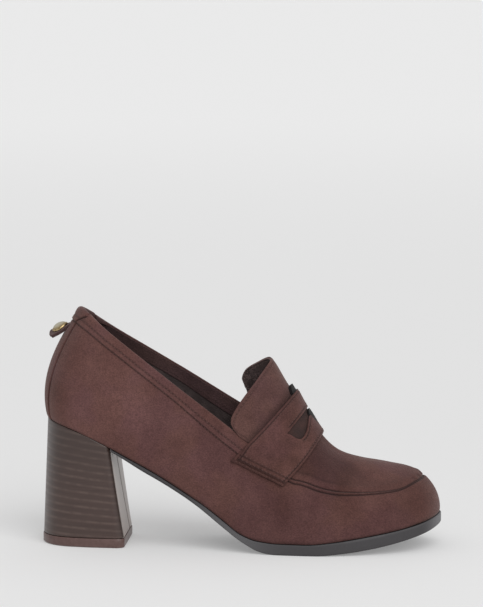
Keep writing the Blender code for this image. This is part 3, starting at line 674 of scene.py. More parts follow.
def buildLining():
    cut = liningCut
    side = np.linspace(0, 12.4, 125)
    places = np.concatenate((side, np.linspace(12.45, turn - 12.45, 24), turn - side[::-1]))
    number, _ = sectionOf(places)
    shares, runs = lengthsAt(places)
    levels, high = [], []
    for run, near in zip(runs, number):
        total = run[-1] - cut["below"] * (1 - ease(7.2, last["throatEnd"], near))
        edge = total - cut["facing"]
        stops = np.concatenate((np.linspace(cut["foot"], edge - 0.5, 24, endpoint=False),
                                np.linspace(edge - 0.5, edge + 0.5, 7, endpoint=False),
                                np.linspace(edge + 0.5, total, 12)))
        levels.append(np.interp(stops, run, shares))
        high.append(total - stops)
    levels, high = np.array(levels).T, np.array(high).T
    facingOn = ease(6.4, 5.6, number)
    facing = facingOn * ease(cut["facing"] + 0.3, cut["facing"] - 0.2, high)
    offset = cut["offset"] - cut["facingStep"] * facing
    points = liftedAt(wallAt, np.repeat(places[None], len(levels), 0), levels, offset)
    front = number >= last["throatEnd"]
    points[-1, front] = (points[-1] + points[-1, ::-1])[front] / 2
    # painted shade along the facing's edge and inside the heel, darker towards the back
    piece = layGrid("collar_lining", points, innerLining, facingSuede,
                    crease=darkest(hump(high - cut["facing"], 0.5) * facingOn, 0.5 * ease(3.6, 1.6, number)))
    rows = np.arange(len(levels) - 1)[:, None]
    isFacing = (rows >= cut["facingRow"]) & ((number[:-1] + number[1:]) / 2 < cut["facingEnd"])
    piece.data.polygons.foreach_set("material_index", isFacing.astype(np.int32).ravel())
    weld(piece)
    thicken(piece, cut["sheet"], 1.0)
    dress(piece, 50)


buildLining()


# The strap's edges: section at the ridge, half way and at the end, and share up the vamp at the end
strapBack = (6.42, 6.25, 5.68, 0.297)
strapFront = (8.05, 7.95, 7.45, 0.358)


def strapEdge(row, reach):
    ridgeAt, middle, end, height = row
    square = 8 * (middle - ridgeAt) - (end - ridgeAt)
    return ridgeAt + square * reach**2 + (end - ridgeAt - square) * reach**3, 1 - reach * (1 - height)


# Tongue: a flap from under the strap, its edges in sections along and shares up the vamp
tongueCut = {
    "wall": 1.6, "drop": 0.1, "overlap": 0.020, "spread": 1.49, "tuck": 0.2, "startsAfter": 0.12,
    "topOuter": ((0, 5.36, 0.424), (0.08, 5.20, 0.438), (0.2, 5.12, 0.472), (0.4, 5.11, 0.55),
                 (0.6, 5.14, 0.70), (0.8, 5.13, 0.85), (1, 5.11, 1.0)),
    "topInner": ((0, 5.50, 0.515), (0.2, 5.16, 0.556), (0.4, 4.80, 0.590), (0.6, 4.755, 0.640),
                 (0.8, 4.90, 0.77), (1, 5.11, 1.0)),
    "lobe": 0.013, "over": 1.5, "inside": -1.8, "edgeDrop": 0.45, "wave": 0.25,
    "stitchIn": 2.1, "stitchShade": 0.6, "shade": 0.5, "shadeWidth": 0.16,
}


def tongueGrid(columns=60, rows=54):  # places, shares and depths of the flap
    cut, first = tongueCut, last["throatStart"]
    f = np.linspace(0, 1, rows)[:, None]
    rank = np.linspace(0, 1, columns)
    swing = rank * math.pi / 2
    edge = ease(0.30, 0.04, rank)
    lobe = cut["lobe"] * edge**2 * ease(0.0, 0.4, f) * ease(1.0, 0.7, f)
    lowNumber = first + cut["startsAfter"] + cut["spread"] * np.sin(swing)
    lowNumber += cut["tuck"] * (1 - np.sin(swing)) ** 2  # the lower corners go further under the strap
    sides = []
    for inward, key, lift in ((True, "topOuter", "over"), (False, "topInner", "inside")):
        start = toplineShare(first if inward else turn - first) + cut["overlap"]
        lowShare = start + (1 - start) * (1 - np.cos(swing))
        table = np.array(cut[key])
        number = lowNumber * (1 - f) + graph(table[:, :2], rank) * f
        share = lowShare * (1 - f) + graph(table[:, ::2], rank) * f - lobe
        depth = cut[lift] * edge * ease(0.0, 0.22, f) - cut["drop"]
        sides.append((number if inward else turn - number, np.minimum(share, 1.0), depth))
    return tuple(np.concatenate((outer, inner[:, -2::-1]), axis=1) for outer, inner in zip(*sides))


def buildTongue():
    cut = tongueCut
    place, share, depth = tongueGrid()
    base = liftedAt(vampAt, place, share, depth)
    high, side = fromTop(base), lengthsAlong(base, 1)
    gap = np.minimum(high, np.minimum(side, side[:, ::-1]))
    f = np.linspace(0, 1, len(base))[:, None]
    relief = cut["wave"] * np.sin(base[..., 1] * 0.21 + 0.8) * ease(0.55, 0.9, f) * ease(0, 6, high)
    relief -= rolled(gap, cut["edgeDrop"], 1.2) + 0.2 * hump(gap - cut["stitchIn"], 0.6)
    points = base + normalAt(vampAt, place, share) * relief[..., None]
    # painted shadow of the strap's back edge on the tongue, and painted shade in the stitch groove
    strapAt, _ = strapEdge(strapBack, np.clip((1 - share) / (1 - strapBack[3]), 0, 1))
    shade = cut["shade"] * hump(np.maximum(strapAt - sectionOf(place)[0], 0), cut["shadeWidth"])
    piece = layGrid("tongue_suede", points, tongueSuede, tongueLining,
                    crease=darkest(shade, cut["stitchShade"] * hump(gap - cut["stitchIn"], 0.42)))
    thicken(piece, cut["wall"], back=1)
    dress(piece, 50, "tongue")


buildTongue()
print("lining and tongue made")


# Saddle strap: a backing and a top layer, with the keeper's slot cut through both
strapCut = {
    "bow": 0.02, "width": 24.0, "slotBack": 0.41, "slotReach": 0.55,
    "slotDepth": ((0, 0.32), (0.09, 0.31), (0.16, 0.18), (0.20, 0.13), (0.263, 0.133), (0.472, 0.20),
                  (0.66, 0.265), (0.80, 0.285), (0.90, 0.27), (0.958, 0.22), (1.0, 0.0)),
    "gap": 0.35, "backing": 1.1, "layer": 1.1, "endStep": 1.8, "sideStep": 1.5, "stepFrom": (0.80, 0.985),
    "liftBack": 0.8, "liftSlot": 0.6, "edgeDrop": 0.42, "edgeRound": 1.3,
    "endRows": (0.95, 3.4), "edgeRow": 1.6, "slotRow": 1.5, "backingRow": 0.9,
    # dark slabs over the ridge, black edge paint with painted shade under the lifted far edge, bowed out in
    # the middle:
    # along from and to, across from and to, how far the ends stay back, height and thickness
    "blackEdgeShades": ((-0.12, 0.14, -0.15, 0.12, 0.13, 1.4, 2.4), (-0.15, 0.12, 0.45, 0.80, 0.05, 2.3, 3.0)),
}
strapTop = strapCut["gap"] + strapCut["backing"] + strapCut["layer"]


def strapSpot(along01, across):  # along01 runs from -1 at the inner end to 1 at the outer end
    reach = np.abs(along01)
    n0, h0 = strapEdge(strapBack, reach)
    n1, h1 = strapEdge(strapFront, reach)
    number = n0 + (n1 - n0) * across
    share = h0 + (h1 - h0) * across + 4 * strapCut["bow"] * across * (1 - across) * reach
    return np.where(along01 >= 0, number, turn - number), share


def strapPoint(along01, across, offset):
    ridgeBack = strapCut["liftBack"] * ease(0.34, 0.10, np.abs(along01 + 0.06)) * ease(0.38, 0.0, across)
    ridgeSlot = strapCut["liftSlot"] * hump(along01 + 0.03, 0.15) * hump(across - 0.55, 0.14)
    return liftedAt(vampAt, *strapSpot(along01, across), offset + ridgeBack + ridgeSlot)


def slotFrontAt(along01):
    reach = np.clip(np.abs(along01) / strapCut["slotReach"], 0, 1)
    return strapCut["slotBack"] + graph(strapCut["slotDepth"], reach)


def strapBackAt(along01):  # where the top layer's back edge steps in near its ends
    return strapCut["sideStep"] / strapCut["width"] * ease(*strapCut["stepFrom"], np.abs(along01))


def strapLayer(name, offset, wall, limit, isTop):
    cut, parts = strapCut, []
    fine = np.concatenate((np.linspace(-limit, -0.5, 44, endpoint=False),
                           np.linspace(-0.5, 0.5, 90, endpoint=False), np.linspace(0.5, limit, 45)))
    slotOn = ease(0.52, 0.47, np.abs(fine))
    edge = strapBackAt(fine) * isTop
    bands = ((edge, cut["slotBack"], 18), (slotFrontAt(fine), 1.0, 24))
    for number, (start, end, rows) in enumerate(bands):
        across = start + (end - start) * np.linspace(0, 1, rows)[:, None]
        ways = np.repeat(fine[None], rows, 0)
        flat = strapPoint(ways, across, offset)
        gaps = (lengthsAlong(flat), fromTop(flat))
        outerGap, slotGap = gaps if number == 0 else gaps[::-1]
        ends = lengthsAlong(flat[:, ::-1], 1)
        ends = np.minimum(ends, ends[:, ::-1])
        rimGap = np.minimum(outerGap, ends)
        if isTop:
            press = [rolled(gap, cut["edgeDrop"], cut["edgeRound"]) for gap in (outerGap, ends, slotGap)]
            sewing = hump(outerGap - cut["edgeRow"], 0.48) + slotOn * hump(slotGap - cut["slotRow"], 0.48)
            sewing += hump(ends - cut["endRows"][0], 0.4) + hump(ends - cut["endRows"][1], 0.48)
            sewing = np.clip(sewing, 0, 1)
            sunk = press[0] + press[1] + slotOn * press[2] + 0.18 * sewing
            flat = flat - normalAt(vampAt, *strapSpot(ways, across)) * sunk[..., None]
            # painted shade in the sunk stitch rows and along the cut edges
            lines = darkest(0.9 * sewing, 0.5 * hump(rimGap, 0.3))
        else:  # shade where the backing comes out from under the top layer
            lines = darkest(0.4 * hump(ends - cut["endStep"], 0.35), 0.5 * hump(rimGap, 0.35),
                            0.25 * hump(ends - cut["backingRow"], 0.35), ease(0.24, 0.14, np.abs(fine)))
        parts.append(layGrid(name + str(number), flat, strapSuede, edgePaint, crease=lines))
    piece = joined(name, *parts)
    weld(piece)
    thicken(piece, wall, rim=1, back=1)
    return piece


def strapRun():  # length of the strap's middle from the ridge to its outer end
    return lengthsAlong(strapPoint(np.linspace(0, 1, 200), np.full(200, 0.5), 1.0))[-1]


def buildStrap():
    cut = strapCut
    limit = 1 - cut["endStep"] / strapRun()
    backing = strapLayer("strap_backing", cut["gap"] + cut["backing"], cut["backing"], 1.0, False)
    layer = strapLayer("strap_top", strapTop, cut["layer"] - 0.02, limit, True)
    blackEdgeShades = []
    for a0, a1, c0, c1, back, height, wall in cut["blackEdgeShades"]:
        ways, f = np.meshgrid(np.linspace(a0, a1, 21), np.linspace(0, 1, 9))
        across = c1 + (c0 + back * np.linspace(-1, 1, 21) ** 4 - c1) * (1 - f)
        blackEdgeShades.append(layGrid("strap_black_edge_shade", strapPoint(ways, across, height), blackEdgeShading))
        thicken(blackEdgeShades[-1], wall)
    piece = joined("saddle_strap_suede", layer, backing, *blackEdgeShades)
    dress(piece, 45, "saddle_strap")
    # a dark sheet under the keeper's slot: painted shade on the vamp seen through it
    ways, across = np.meshgrid(np.linspace(-0.6, 0.6, 61), np.linspace(0.3, 0.86, 15))
    patch = layGrid("slot_shade_sheet", strapPoint(ways, across, 1.0), slotShade)
    thicken(patch, 0.25)
    dress(patch, 45)
    print("strap:", len(piece.data.polygons), "faces")


buildStrap()


# Insole
insoleCut = {"inset": -1.5, "gap": 0.1, "wall": 2.4, "crown": 0.7}


def buildInsole():
    cut = insoleCut
    ways = np.concatenate((0.12 + 0.88 * np.linspace(0, 1, 18, endpoint=False) ** 1.6,
                           np.linspace(1, 12, 90, endpoint=False),
                           12 + 0.9 * (1 - np.linspace(1, 0, 18) ** 1.6)))
    outer, inner = outlineAt(ways, cut["inset"]), outlineAt(turn - ways, cut["inset"])
    f = (0.5 - 0.5 * np.cos(np.linspace(0, math.pi, 25)))[:, None, None]
    plan = outer[None] * (1 - f) + inner[None] * f
    sunk = cut["crown"] * (1 - 4 * f[..., 0] * (1 - f[..., 0])) ** 4
    height = lastAt(plan[..., 0]) + cut["gap"] + cut["wall"] - sunk
    piece = layGrid("sock_lining", raised(plan, height), sockLeather)
    thicken(piece, cut["wall"] - cut["crown"] - 0.1)
    dress(piece, 50, "insole")


buildInsole()


# Outsole: loops across the foot from the heel breast to the toe
soleCut = {"start": -76.2, "edge": 0.8, "round": 1.1, "gap": 0.35, "thin": 0.5, "thinTo": -54.0,
           "wornWaist": 0.4, "wornAt": -2.0, "wornTip": 0.8, "lip": 0.05, "lipToe": 0.11}


def buildRubber():
    made, tree, shader = newMaterial("soleRubber", rgb(74, 73, 75), 0.55, Specular_IOR_Level=0.4)
    place = objectPlace(tree)
    cells = cellEdges(tree, mapped(tree, place, Rotation=(0, 0, math.radians(45))), 260, Randomness=0.0)
    lugs = calc(tree, "MULTIPLY", spread(tree, cells, 0.06, 0.16), markOf(tree, "tread"))
    dust = noiseAt(tree, place, 700, 3, 0.6)
    shade = blendColor(tree, spread(tree, dust, 0.3, 0.7, 0.0, 0.5), rgb(56, 54, 56), rgb(64, 62, 64))
    # painted highlights from the rim mark, paler along the top edge
    shade = blendColor(tree, markOf(tree, "rim"), shade, rgb(112, 111, 113))
    feed(tree, shader, Base_Color=shade, Roughness=spread(tree, dust, 0.25, 0.75, 0.5, 0.66))
    bumpInto(tree, shader, weighed(tree, lugs, 1.0, dust, 0.06), 0.6, 0.001)
    return made


def soleTopAt(x):
    return lastAt(x) - soleCut["gap"]


def soleUnderAt(x):  # thinner towards the heel breast
    thick = soleCut["thin"] + (1 - soleCut["thin"]) * ease(soleCut["start"], soleCut["thinTo"], x)
    return soleTopAt(x) - (soleTopAt(x) - graph(last["underSole"], x)) * thick


def soleAcross(a, b, heightAt, count=17):  # loops between two edges
    f = np.linspace(0, 1, count)[1:-1, None, None]
    plan = (a[None] * (1 - f) + b[None] * f)[..., :2]
    return raised(plan, heightAt(plan[..., 0]))


def soleSide(place):  # loops down the side, from the top edge to the rounded foot
    cut, wall = soleCut, []
    rows = [(-0.35, 1.0, 0.0)] + [(0.0, share, 0.0) for share in (0.93, 0.8, 0.6, 0.35)]
    for swing in np.linspace(0, math.pi / 2, 6):
        rows.append((cut["round"] * (math.cos(swing) - 1), 0.0, cut["round"] * (1 - math.sin(swing))))
    for step, share, rise in rows:
        plan = outlineAt(place, cut["edge"] + step)
        low = soleUnderAt(plan[:, 0])
        thick = soleTopAt(plan[:, 0]) - low
        wall.append(raised(plan, low + (thick * share if share else np.minimum(rise, 0.45 * thick))))
    return np.array(wall)


def buildOutsole():
    cut = soleCut
    ways = np.concatenate((np.linspace(sectionAt(cut["start"]), 12.2, 130, endpoint=False),
                           12.2 + 0.8 * (1 - np.linspace(1, 0, 26) ** 1.7)))
    outer, inner = soleSide(ways), soleSide(turn - ways)[::-1]
    bottom = soleAcross(outer[-1], inner[0], soleUnderAt)
    top = soleAcross(inner[-1], outer[0], soleTopAt)
    grid = np.swapaxes(np.concatenate((outer, bottom, inner, top, outer[:1])), 0, 1)
    loopAt = np.arange(grid.shape[1])
    under = (loopAt >= len(outer)) & (loopAt < len(outer) + len(bottom))
    lips = np.isin(loopAt, (1, len(loopAt) - len(top) - 3))
    number = ways[:, None]
    # painted highlights where the waist turns down and at the tip, and paler along the top edge
    rim = darkest(~under * cut["wornWaist"] * hump(grid[..., 0] - cut["wornAt"], 20.0),
                  ~under * cut["wornTip"] * ease(11.6, 12.7, number),
                  lips * (cut["lip"] + cut["lipToe"] * ease(8.5, 12.5, number)))
    piece = layGrid("sole_rubber", grid, buildRubber(), tread=under, rim=rim)
    weld(piece, closed=True)
    dress(piece, 35, "outsole")


buildOutsole()
print("insole and outsole made")


# Heel block and its top lift
heelCut = {
    "back": -120.0, "breast": -69.0, "halfWidth": 24.6, "topBreast": -77.2, "corner": 3.5, "arc": 17.0,
    "liftHeight": 5.6, "gap": 0.35, "seatGap": 0.12, "seatOffset": 0.2, "centre": -95.0,
    "lineStep": 4.4, "lineTilt": 0.0018, "lineSlope": 0.045, "lineStart": 0.2,
    "dark": rgb(54, 35, 29), "light": rgb(62, 43, 37), "line": rgb(88, 70, 63), "shade": rgb(36, 24, 20),
    "breastReflectionLow": rgb(140, 122, 113), "breastReflectionHigh": rgb(176, 160, 151), "jointAndCornerShade": rgb(30, 26, 25),
    "groove": 0.7, "jointTop": 0.53, "jointFoot": 0.75, "jointWidth": 1.1, "cornerShade": 0.45,
    # height and growth of the top lift's rings
    "liftRings": ((0.0, -0.7), (0.25, -0.05), (0.7, 0.35), (2.8, 0.38), (5.2, 0.35), (5.45, 0.2), (5.6, 0.0)),
}


def buildStacked():  # leather lifts, shown as fine pale lines, with a glossy breast painted pale as a reflection, lighter towards the top
    made, tree, shader = newMaterial("stackedLeather", rough=0.4, Coat_Roughness=0.32, Specular_IOR_Level=0.5)
    cut, place, breast = heelCut, objectPlace(tree), markOf(tree, "breast")
    side = calc(tree, "SUBTRACT", 1.0, breast)
    waver = calc(tree, "MULTIPLY", calc(tree, "SUBTRACT", noiseAt(tree, place, 30, 2), 0.5), 0.03)
    count = calc(tree, "FRACT", calc(tree, "ADD", markOf(tree, "level"), waver))
    line = spread(tree, calc(tree, "ABSOLUTE", calc(tree, "SUBTRACT", count, 0.5)), 0.0, 0.3, 0.66, 0.0)
    patchy = spread(tree, noiseAt(tree, place, 160, 3), 0.35, 0.65, 0.35, 1.0)
    streak = noiseAt(tree, mapped(tree, place, Scale=(60, 60, 900)), 1.0, 3, 0.6)
    height = addNode(tree, "SeparateXYZ", {"Vector": place}).outputs["Z"]
    wood = blendColor(tree, spread(tree, streak, 0.3, 0.7), cut["dark"], cut["light"])
    wood = blendColor(tree, calc(tree, "MULTIPLY", line, patchy), wood, cut["line"])
    # painted shade under the upper, darker towards the top
    wood = blendColor(tree, spread(tree, height, 0.03, 0.07, 0.0, 0.3), wood, cut["shade"])
    # painted reflection: the breast pale grey, lighter towards the top
    front = blendColor(tree, spread(tree, height, 0.015, 0.055), cut["breastReflectionLow"], cut["breastReflectionHigh"])
    wood = blendColor(tree, breast, wood, front)
    # a dark joint down the breast, and painted shade at the breast's corners
    wood = blendColor(tree, markOf(tree, "joint"), wood, cut["jointAndCornerShade"])
    rough = calc(tree, "MULTIPLY", spread(tree, streak, 0.3, 0.7, -0.06, 0.06), side)
    feed(tree, shader, Base_Color=wood, Roughness=calc(tree, "ADD", rough, 0.42),
         Coat_Weight=spread(tree, breast, 0, 1, 0.28, 0.5))
    relief = calc(tree, "SUBTRACT", calc(tree, "MULTIPLY", streak, 0.25), line)
    bumpInto(tree, shader, calc(tree, "MULTIPLY", relief, side), 0.12, 0.0004)
    return made


def buildLift():
    made, tree, shader = newMaterial("liftRubber", rough=0.42, Specular_IOR_Level=0.4, Coat_Weight=0.15)
    place = objectPlace(tree)
    dust = noiseAt(tree, place, 420, 3, 0.6)
    color = blendColor(tree, spread(tree, dust, 0.3, 0.7), rgb(84, 62, 58), rgb(95, 72, 68))
    feed(tree, shader, Base_Color=color)
    bars = addNode(tree, "TexWave", {"Vector": place, "Scale": 90.0}).outputs["Fac"]
    bars = calc(tree, "MULTIPLY", bars, markOf(tree, "tread"))
    bumpInto(tree, shader, weighed(tree, bars, 0.8, dust, 0.12), 0.4, 0.0008)
    return made


def heelPlan():  # once round the seat: the outer side forward, the breast, the inner side back
    cut = heelCut
    seat = sectionAt(cut["topBreast"])
    ways = seat * (1 - np.linspace(1, 0, 61) ** 1.15) * 0.9
    swing = np.linspace(0, math.pi / 2, 12)
    cornerX = cut["topBreast"] - cut["corner"] * (1 - np.sin(swing))
    sides, ends = [], []
    for side, place, first in ((1, ways, seat), (-1, turn - ways, turn - seat)):
        ends.append(outlineAt(np.array(first), cut["seatOffset"])[1])
        corner = np.stack((cornerX, ends[-1] + side * cut["corner"] * (1 - np.cos(swing))), axis=1)
        sides.append(np.concatenate((outlineAt(place, cut["seatOffset"]), corner)))
    outer, inner = sides
    f = np.linspace(0, 1, 62)[1:-1, None]
    breast = outer[-1] * (1 - f) + inner[-1] * f
    corner = np.linspace(0, 1, 12)

    def marked(atCorner, atBreast):
        return np.concatenate((np.zeros(61), atCorner, np.full(60, atBreast), atCorner[::-1], np.zeros(61)))

    kinds, edges = marked(corner**8, 1.0), marked(hump(corner - 0.75, 0.3), 0.0)
    share = np.concatenate((np.full(73, -1.0), f[:, 0], np.full(73, 2.0)))
    return np.concatenate((outer, breast, inner[::-1])), kinds, edges, share, max(abs(e) for e in ends)


def heelRing(plan, half, level, grow):
    cut, back = heelCut, feet[0][0]
    run = plan[:, 0] - back
    stretch = (cut["breast"] - cut["back"] - cut["arc"]) / (cut["topBreast"] - back - cut["arc"])
    foot = np.stack((cut["back"] + np.minimum(run, cut["arc"]) + np.maximum(run - cut["arc"], 0) * stretch,
                     plan[:, 1] * cut["halfWidth"] / half), axis=1)
    here = plan * level + foot * (1 - level)
    return here + unit(here - (cut["centre"], 0.0)) * grow


def buildHeel():
    cut = heelCut
    plan, kinds, edges, share, half = heelPlan()
    low = cut["liftHeight"] + cut["gap"]
    levels = np.concatenate(((0.0, 0.0, 0.006), np.linspace(0.014, 0.986, 60), (0.994, 1.0, 1.0)))
    grows = np.concatenate(((-0.6, -0.2, 0.0), np.zeros(60), (0.0, -0.2, -0.6)))
    rings = []
    for level, grow in zip(levels, grows):
        ring = heelRing(plan, half, level, grow)
        rings.append(raised(ring, low + (lastAt(ring[:, 0]) - cut["seatGap"] - low) * level))
    rings = np.array(rings)
    ahead = rings[..., 0] - cut["centre"]
    lines = (rings[..., 2] - low + cut["lineSlope"] * ahead) / (1 - cut["lineTilt"] * ahead) / cut["lineStep"]
    middle = cut["jointFoot"] + (cut["jointTop"] - cut["jointFoot"]) * levels[:, None]
    joint = hump((share - middle) * 2 * half, cut["jointWidth"])
    rings[..., 0] -= cut["groove"] * joint
    # the joint mark also carries painted shade at the breast's corners
    piece = layGrid("heel_stack", rings, buildStacked(), level=lines + cut["lineStart"], breast=kinds,
                    joint=darkest(joint, cut["cornerShade"] * edges))
    weld(piece, closed=True)
    dress(piece, 35, "heel_block")
    lift = []
    for height, grow in cut["liftRings"]:
        ring = heelRing(plan, half, 0.0, grow)
        lift.append(raised(ring, np.full(len(ring), height)))
    centre = np.array((cut["centre"], 0.0, 0.0))
    tread = [lift[0] * s + centre * (1 - s) for s in (0.02, 0.5, 0.97)]
    isTread = (np.arange(len(tread + lift)) < len(tread))[:, None]
    piece = layGrid("heel_lift", np.array(tread + lift), buildLift(), tread=isTread)
    weld(piece, closed=True)
    dress(piece, 35, "heel_top_lift")


buildHeel()
print("heel made")


# Tab at the back of the collar and its stud
tabCut = {
    "root": (-107.3, 0.0, 130.0), "length": 9.5, "width": 12.0, "wall": 2.0, "gapShade": 0.14, "drop": 26.0,
    "under": 5.0, "twist": 13.0, "corner": 2.2,
    "studWidth": 10.2, "studHeight": 3.0, "studAt": 0.2, "studRise": 1.1,
    # share of the radius and of the height, from under the rim to the crown
    "profile": ((0.0, 0.0), (0.84, 0.0), (0.95, 0.03), (1.0, 0.12), (1.0, 0.30), (0.965, 0.40), (0.90, 0.44),
                (0.82, 0.52), (0.70, 0.72), (0.56, 0.86), (0.40, 0.945), (0.2, 0.988), (0.0, 1.0)),
}


def buildBrass():
    made, tree, shader = newMaterial("antiqueBrass", rough=0.3, Metallic=1.0)
    stain = spread(tree, noiseAt(tree, objectPlace(tree), 900, 4, 0.65), 0.35, 0.7)
    metal = blendColor(tree, stain, rgb(158, 134, 94), rgb(194, 174, 132))
    # paler on the crown of the dome
    metal = blendColor(tree, markOf(tree, "worn"), metal, rgb(214, 206, 184))
    feed(tree, shader, Base_Color=metal, Roughness=spread(tree, stain, 0, 1, 0.26, 0.42))
    return made


def tabPoint(away, side, above):  # millimetres along the tab, across it and above it
    away, side, above = np.broadcast_arrays(away, side, above)
    roll = math.radians(tabCut["twist"]) * ease(-6.0, 4.0, away)
    across = side * np.cos(roll) - above * np.sin(roll)
    lift = side * np.sin(roll) + above * np.cos(roll)
    drop = math.radians(tabCut["drop"])
    x = -away * math.cos(drop) - lift * math.sin(drop)
    z = -away * math.sin(drop) + lift * math.cos(drop)
    return np.array(tabCut["root"]) + np.stack((x, across, z), axis=-1)


def tabLayer(name, low, high, shrink, material):
    length, half = tabCut["length"] - shrink, tabCut["width"] / 2 - shrink * 0.4
    f = np.linspace(-1, 1, 15)[None]
    a = np.linspace(0, 1, 17)[:, None]
    reach = length - tabCut["corner"] * (1 - np.sqrt(1 - np.abs(f) ** 4 * 0.75))
    points = tabPoint(a * (reach + tabCut["under"]) - tabCut["under"], f * half,
                      high - 0.12 * a**6 - 0.1 * np.abs(f) ** 8)
    piece = layGrid(name, points, material)
    thicken(piece, high - low)
    return piece


def buildTab():
    cut = tabCut
    wall, gapShade = cut["wall"] / 2, cut["gapShade"]
    # the third layer is a thin dark sheet between the two suede layers: painted shade in the gap
    piece = joined("back_tab_suede", tabLayer("tabTop", gapShade - 0.02, wall, 0.0, tabSuede),
                   tabLayer("tabBottom", -wall, 0.02 - gapShade, 0.5, tabSuede),
                   tabLayer("tabGapShade", -gapShade, gapShade, 0.7, edgePaint))
    dress(piece, 40, "back_tab")
    swing = np.linspace(0, 2 * math.pi, 49)[None]
    share, height = np.array(cut["profile"]).T[..., None]
    radius, height = share * cut["studWidth"] / 2, height * cut["studHeight"]
    seat = cut["length"] * cut["studAt"]
    grid = tabPoint(seat + radius * np.cos(swing), radius * np.sin(swing), cut["studRise"] + height)
    stud = layGrid("back_stud_brass", grid, buildBrass(), worn=ease(0.86, 0.6, share) * (height > 0.5))
    weld(stud, closed=True)
    dress(stud, 40, "back_stud")


buildTab()
print("tab and stud made")


# Stitches: one small bead copied along each path; how far down a row lies, and how far off the surface
stitchCut = {
    "collarLift": 0.6, "bandBelow": 0.4, "bandLift": -0.2, "facingDown": 7.4, "facingLift": -0.02,
    "tongueLift": -0.1, "tongueLiningLift": -0.32, "strapSunk": 0.12, "strapEndSunk": 0.05, "strapStart": 0.9,
}


def buildThread(name, color):
    made, tree, shader = newMaterial(name, color, 0.75, Specular_IOR_Level=0.3)
    bumpInto(tree, shader, noiseAt(tree, objectPlace(tree), 5200, 2, 0.6), 0.3, 0.0002)
    return made


darkThread = buildThread("darkThread", rgb(62, 42, 40))
hideThread = buildThread("hideThread", rgb(84, 58, 54))
paleThread = buildThread("paleThread", rgb(120, 98, 94))


def beadShape():
    bpy.ops.object.select_all(action="DESELECT")
    bpy.ops.mesh.primitive_uv_sphere_add(segments=8, ring_count=5, radius=0.5)
    bead = bpy.context.object
    points = np.array([v.co for v in bead.data.vertices])
    faces = [tuple(p.vertices) for p in bead.data.polygons]
    bpy.data.objects.remove(bead)
    return points, faces


beadPoints, beadFaces = beadShape()


def pathAt(run, path, stops):
    return np.stack([np.interp(stops, run, path[:, k]) for k in range(3)], axis=1)


def sewn(name, material, rows, length=1.7, gap=0.7, width=0.5, rise=0.42):
    points, faces = [], []
    for path, normal in rows:  # each row is a path and its normals
        run = lengthsAlong(path)
        count = int(run[-1] / (length + gap))
        spots = (np.arange(count) + 0.5) * run[-1] / max(count, 1)
        ahead = pathAt(run, path, np.minimum(spots + 0.4, run[-1]))
        way = unit(ahead - pathAt(run, path, np.maximum(spots - 0.4, 0)))
        out = pathAt(run, normal, spots)
        out = unit(out - (out * way).sum(axis=1, keepdims=True) * way)
        for spot, w, s, o in zip(pathAt(run, path, spots), way, np.cross(out, way), out):
            faces += [tuple(v + len(points) * len(beadPoints) for v in face) for face in beadFaces]
            points.append(spot + beadPoints @ np.stack((w * length, s * width, o * rise)))
    mesh = bpy.data.meshes.new(name)
    mesh.from_pydata((np.concatenate(points) * mm).tolist(), [], faces)
    mesh.materials.append(material)
    dress(addToScene(bpy.data.objects.new(name, mesh)), 180)


def wallPath(places, down, offset):  # along the upper's wall, some millimetres below its top edge
    shares, runs = lengthsAt(places)
    levels = np.array([np.interp(run[-1] - down, run, shares) for run in runs])
    return liftedAt(wallAt, places, levels, offset), normalAt(wallAt, places, levels)


def tonguePath(offset):  # along the tongue's edge, on a face so far from its outer one
    place, share, depth = tongueGrid()
    base = liftedAt(vampAt, place, share, depth + offset)
    high = fromTop(base)
    columns = np.arange(high.shape[1])
    rowAt = np.array([np.interp(-tongueCut["stitchIn"], -high[:, j], np.arange(len(high))) for j in columns])
    low = np.minimum(rowAt.astype(int), len(high) - 2)
    f = (rowAt - low)[:, None]
    path = base[low, columns] * (1 - f) + base[low + 1, columns] * f
    return path[5:-5], normalAt(vampAt, place, share)[low, columns][5:-5]


def strapPath(ways, across, low=stitchCut["strapSunk"]):  # a row so far below the face of the top layer
    ways, across = np.broadcast_arrays(np.asarray(ways, float), np.asarray(across, float))
    return strapPoint(ways, across, strapTop - low), normalAt(vampAt, *strapSpot(ways, across))


def buildStitches():
    cut, side = stitchCut, np.linspace(1.05, 5.98, 260)
    rows = []
    for down, lift in ((upperCut["bandStitch"], cut["collarLift"]),
                       (upperCut["bandWidth"] + cut["bandBelow"], cut["bandLift"])):
        rows += [wallPath(places, down, lift) for places in (side, turn - side)]
    sewn("collar_stitches", hideThread, rows, length=1.6, gap=0.9, width=0.7, rise=0.5)
    lift = liningCut["offset"] - liningCut["facingStep"] + cut["facingLift"]
    path, out = wallPath(np.linspace(-5.9, 5.9, 500) % turn, cut["facingDown"], lift)
    sewn("facing_stitches", darkThread, [(path, -out)], width=0.45, rise=0.3)
    sewn("tongue_stitches", hideThread, [tonguePath(cut["tongueLift"])], width=0.75)
    path, out = tonguePath(cut["tongueLiningLift"] - tongueCut["wall"])
    sewn("tongue_lining_stitches", paleThread, [(path, -out)],
         length=1.2, gap=1.0, width=0.4, rise=0.3)


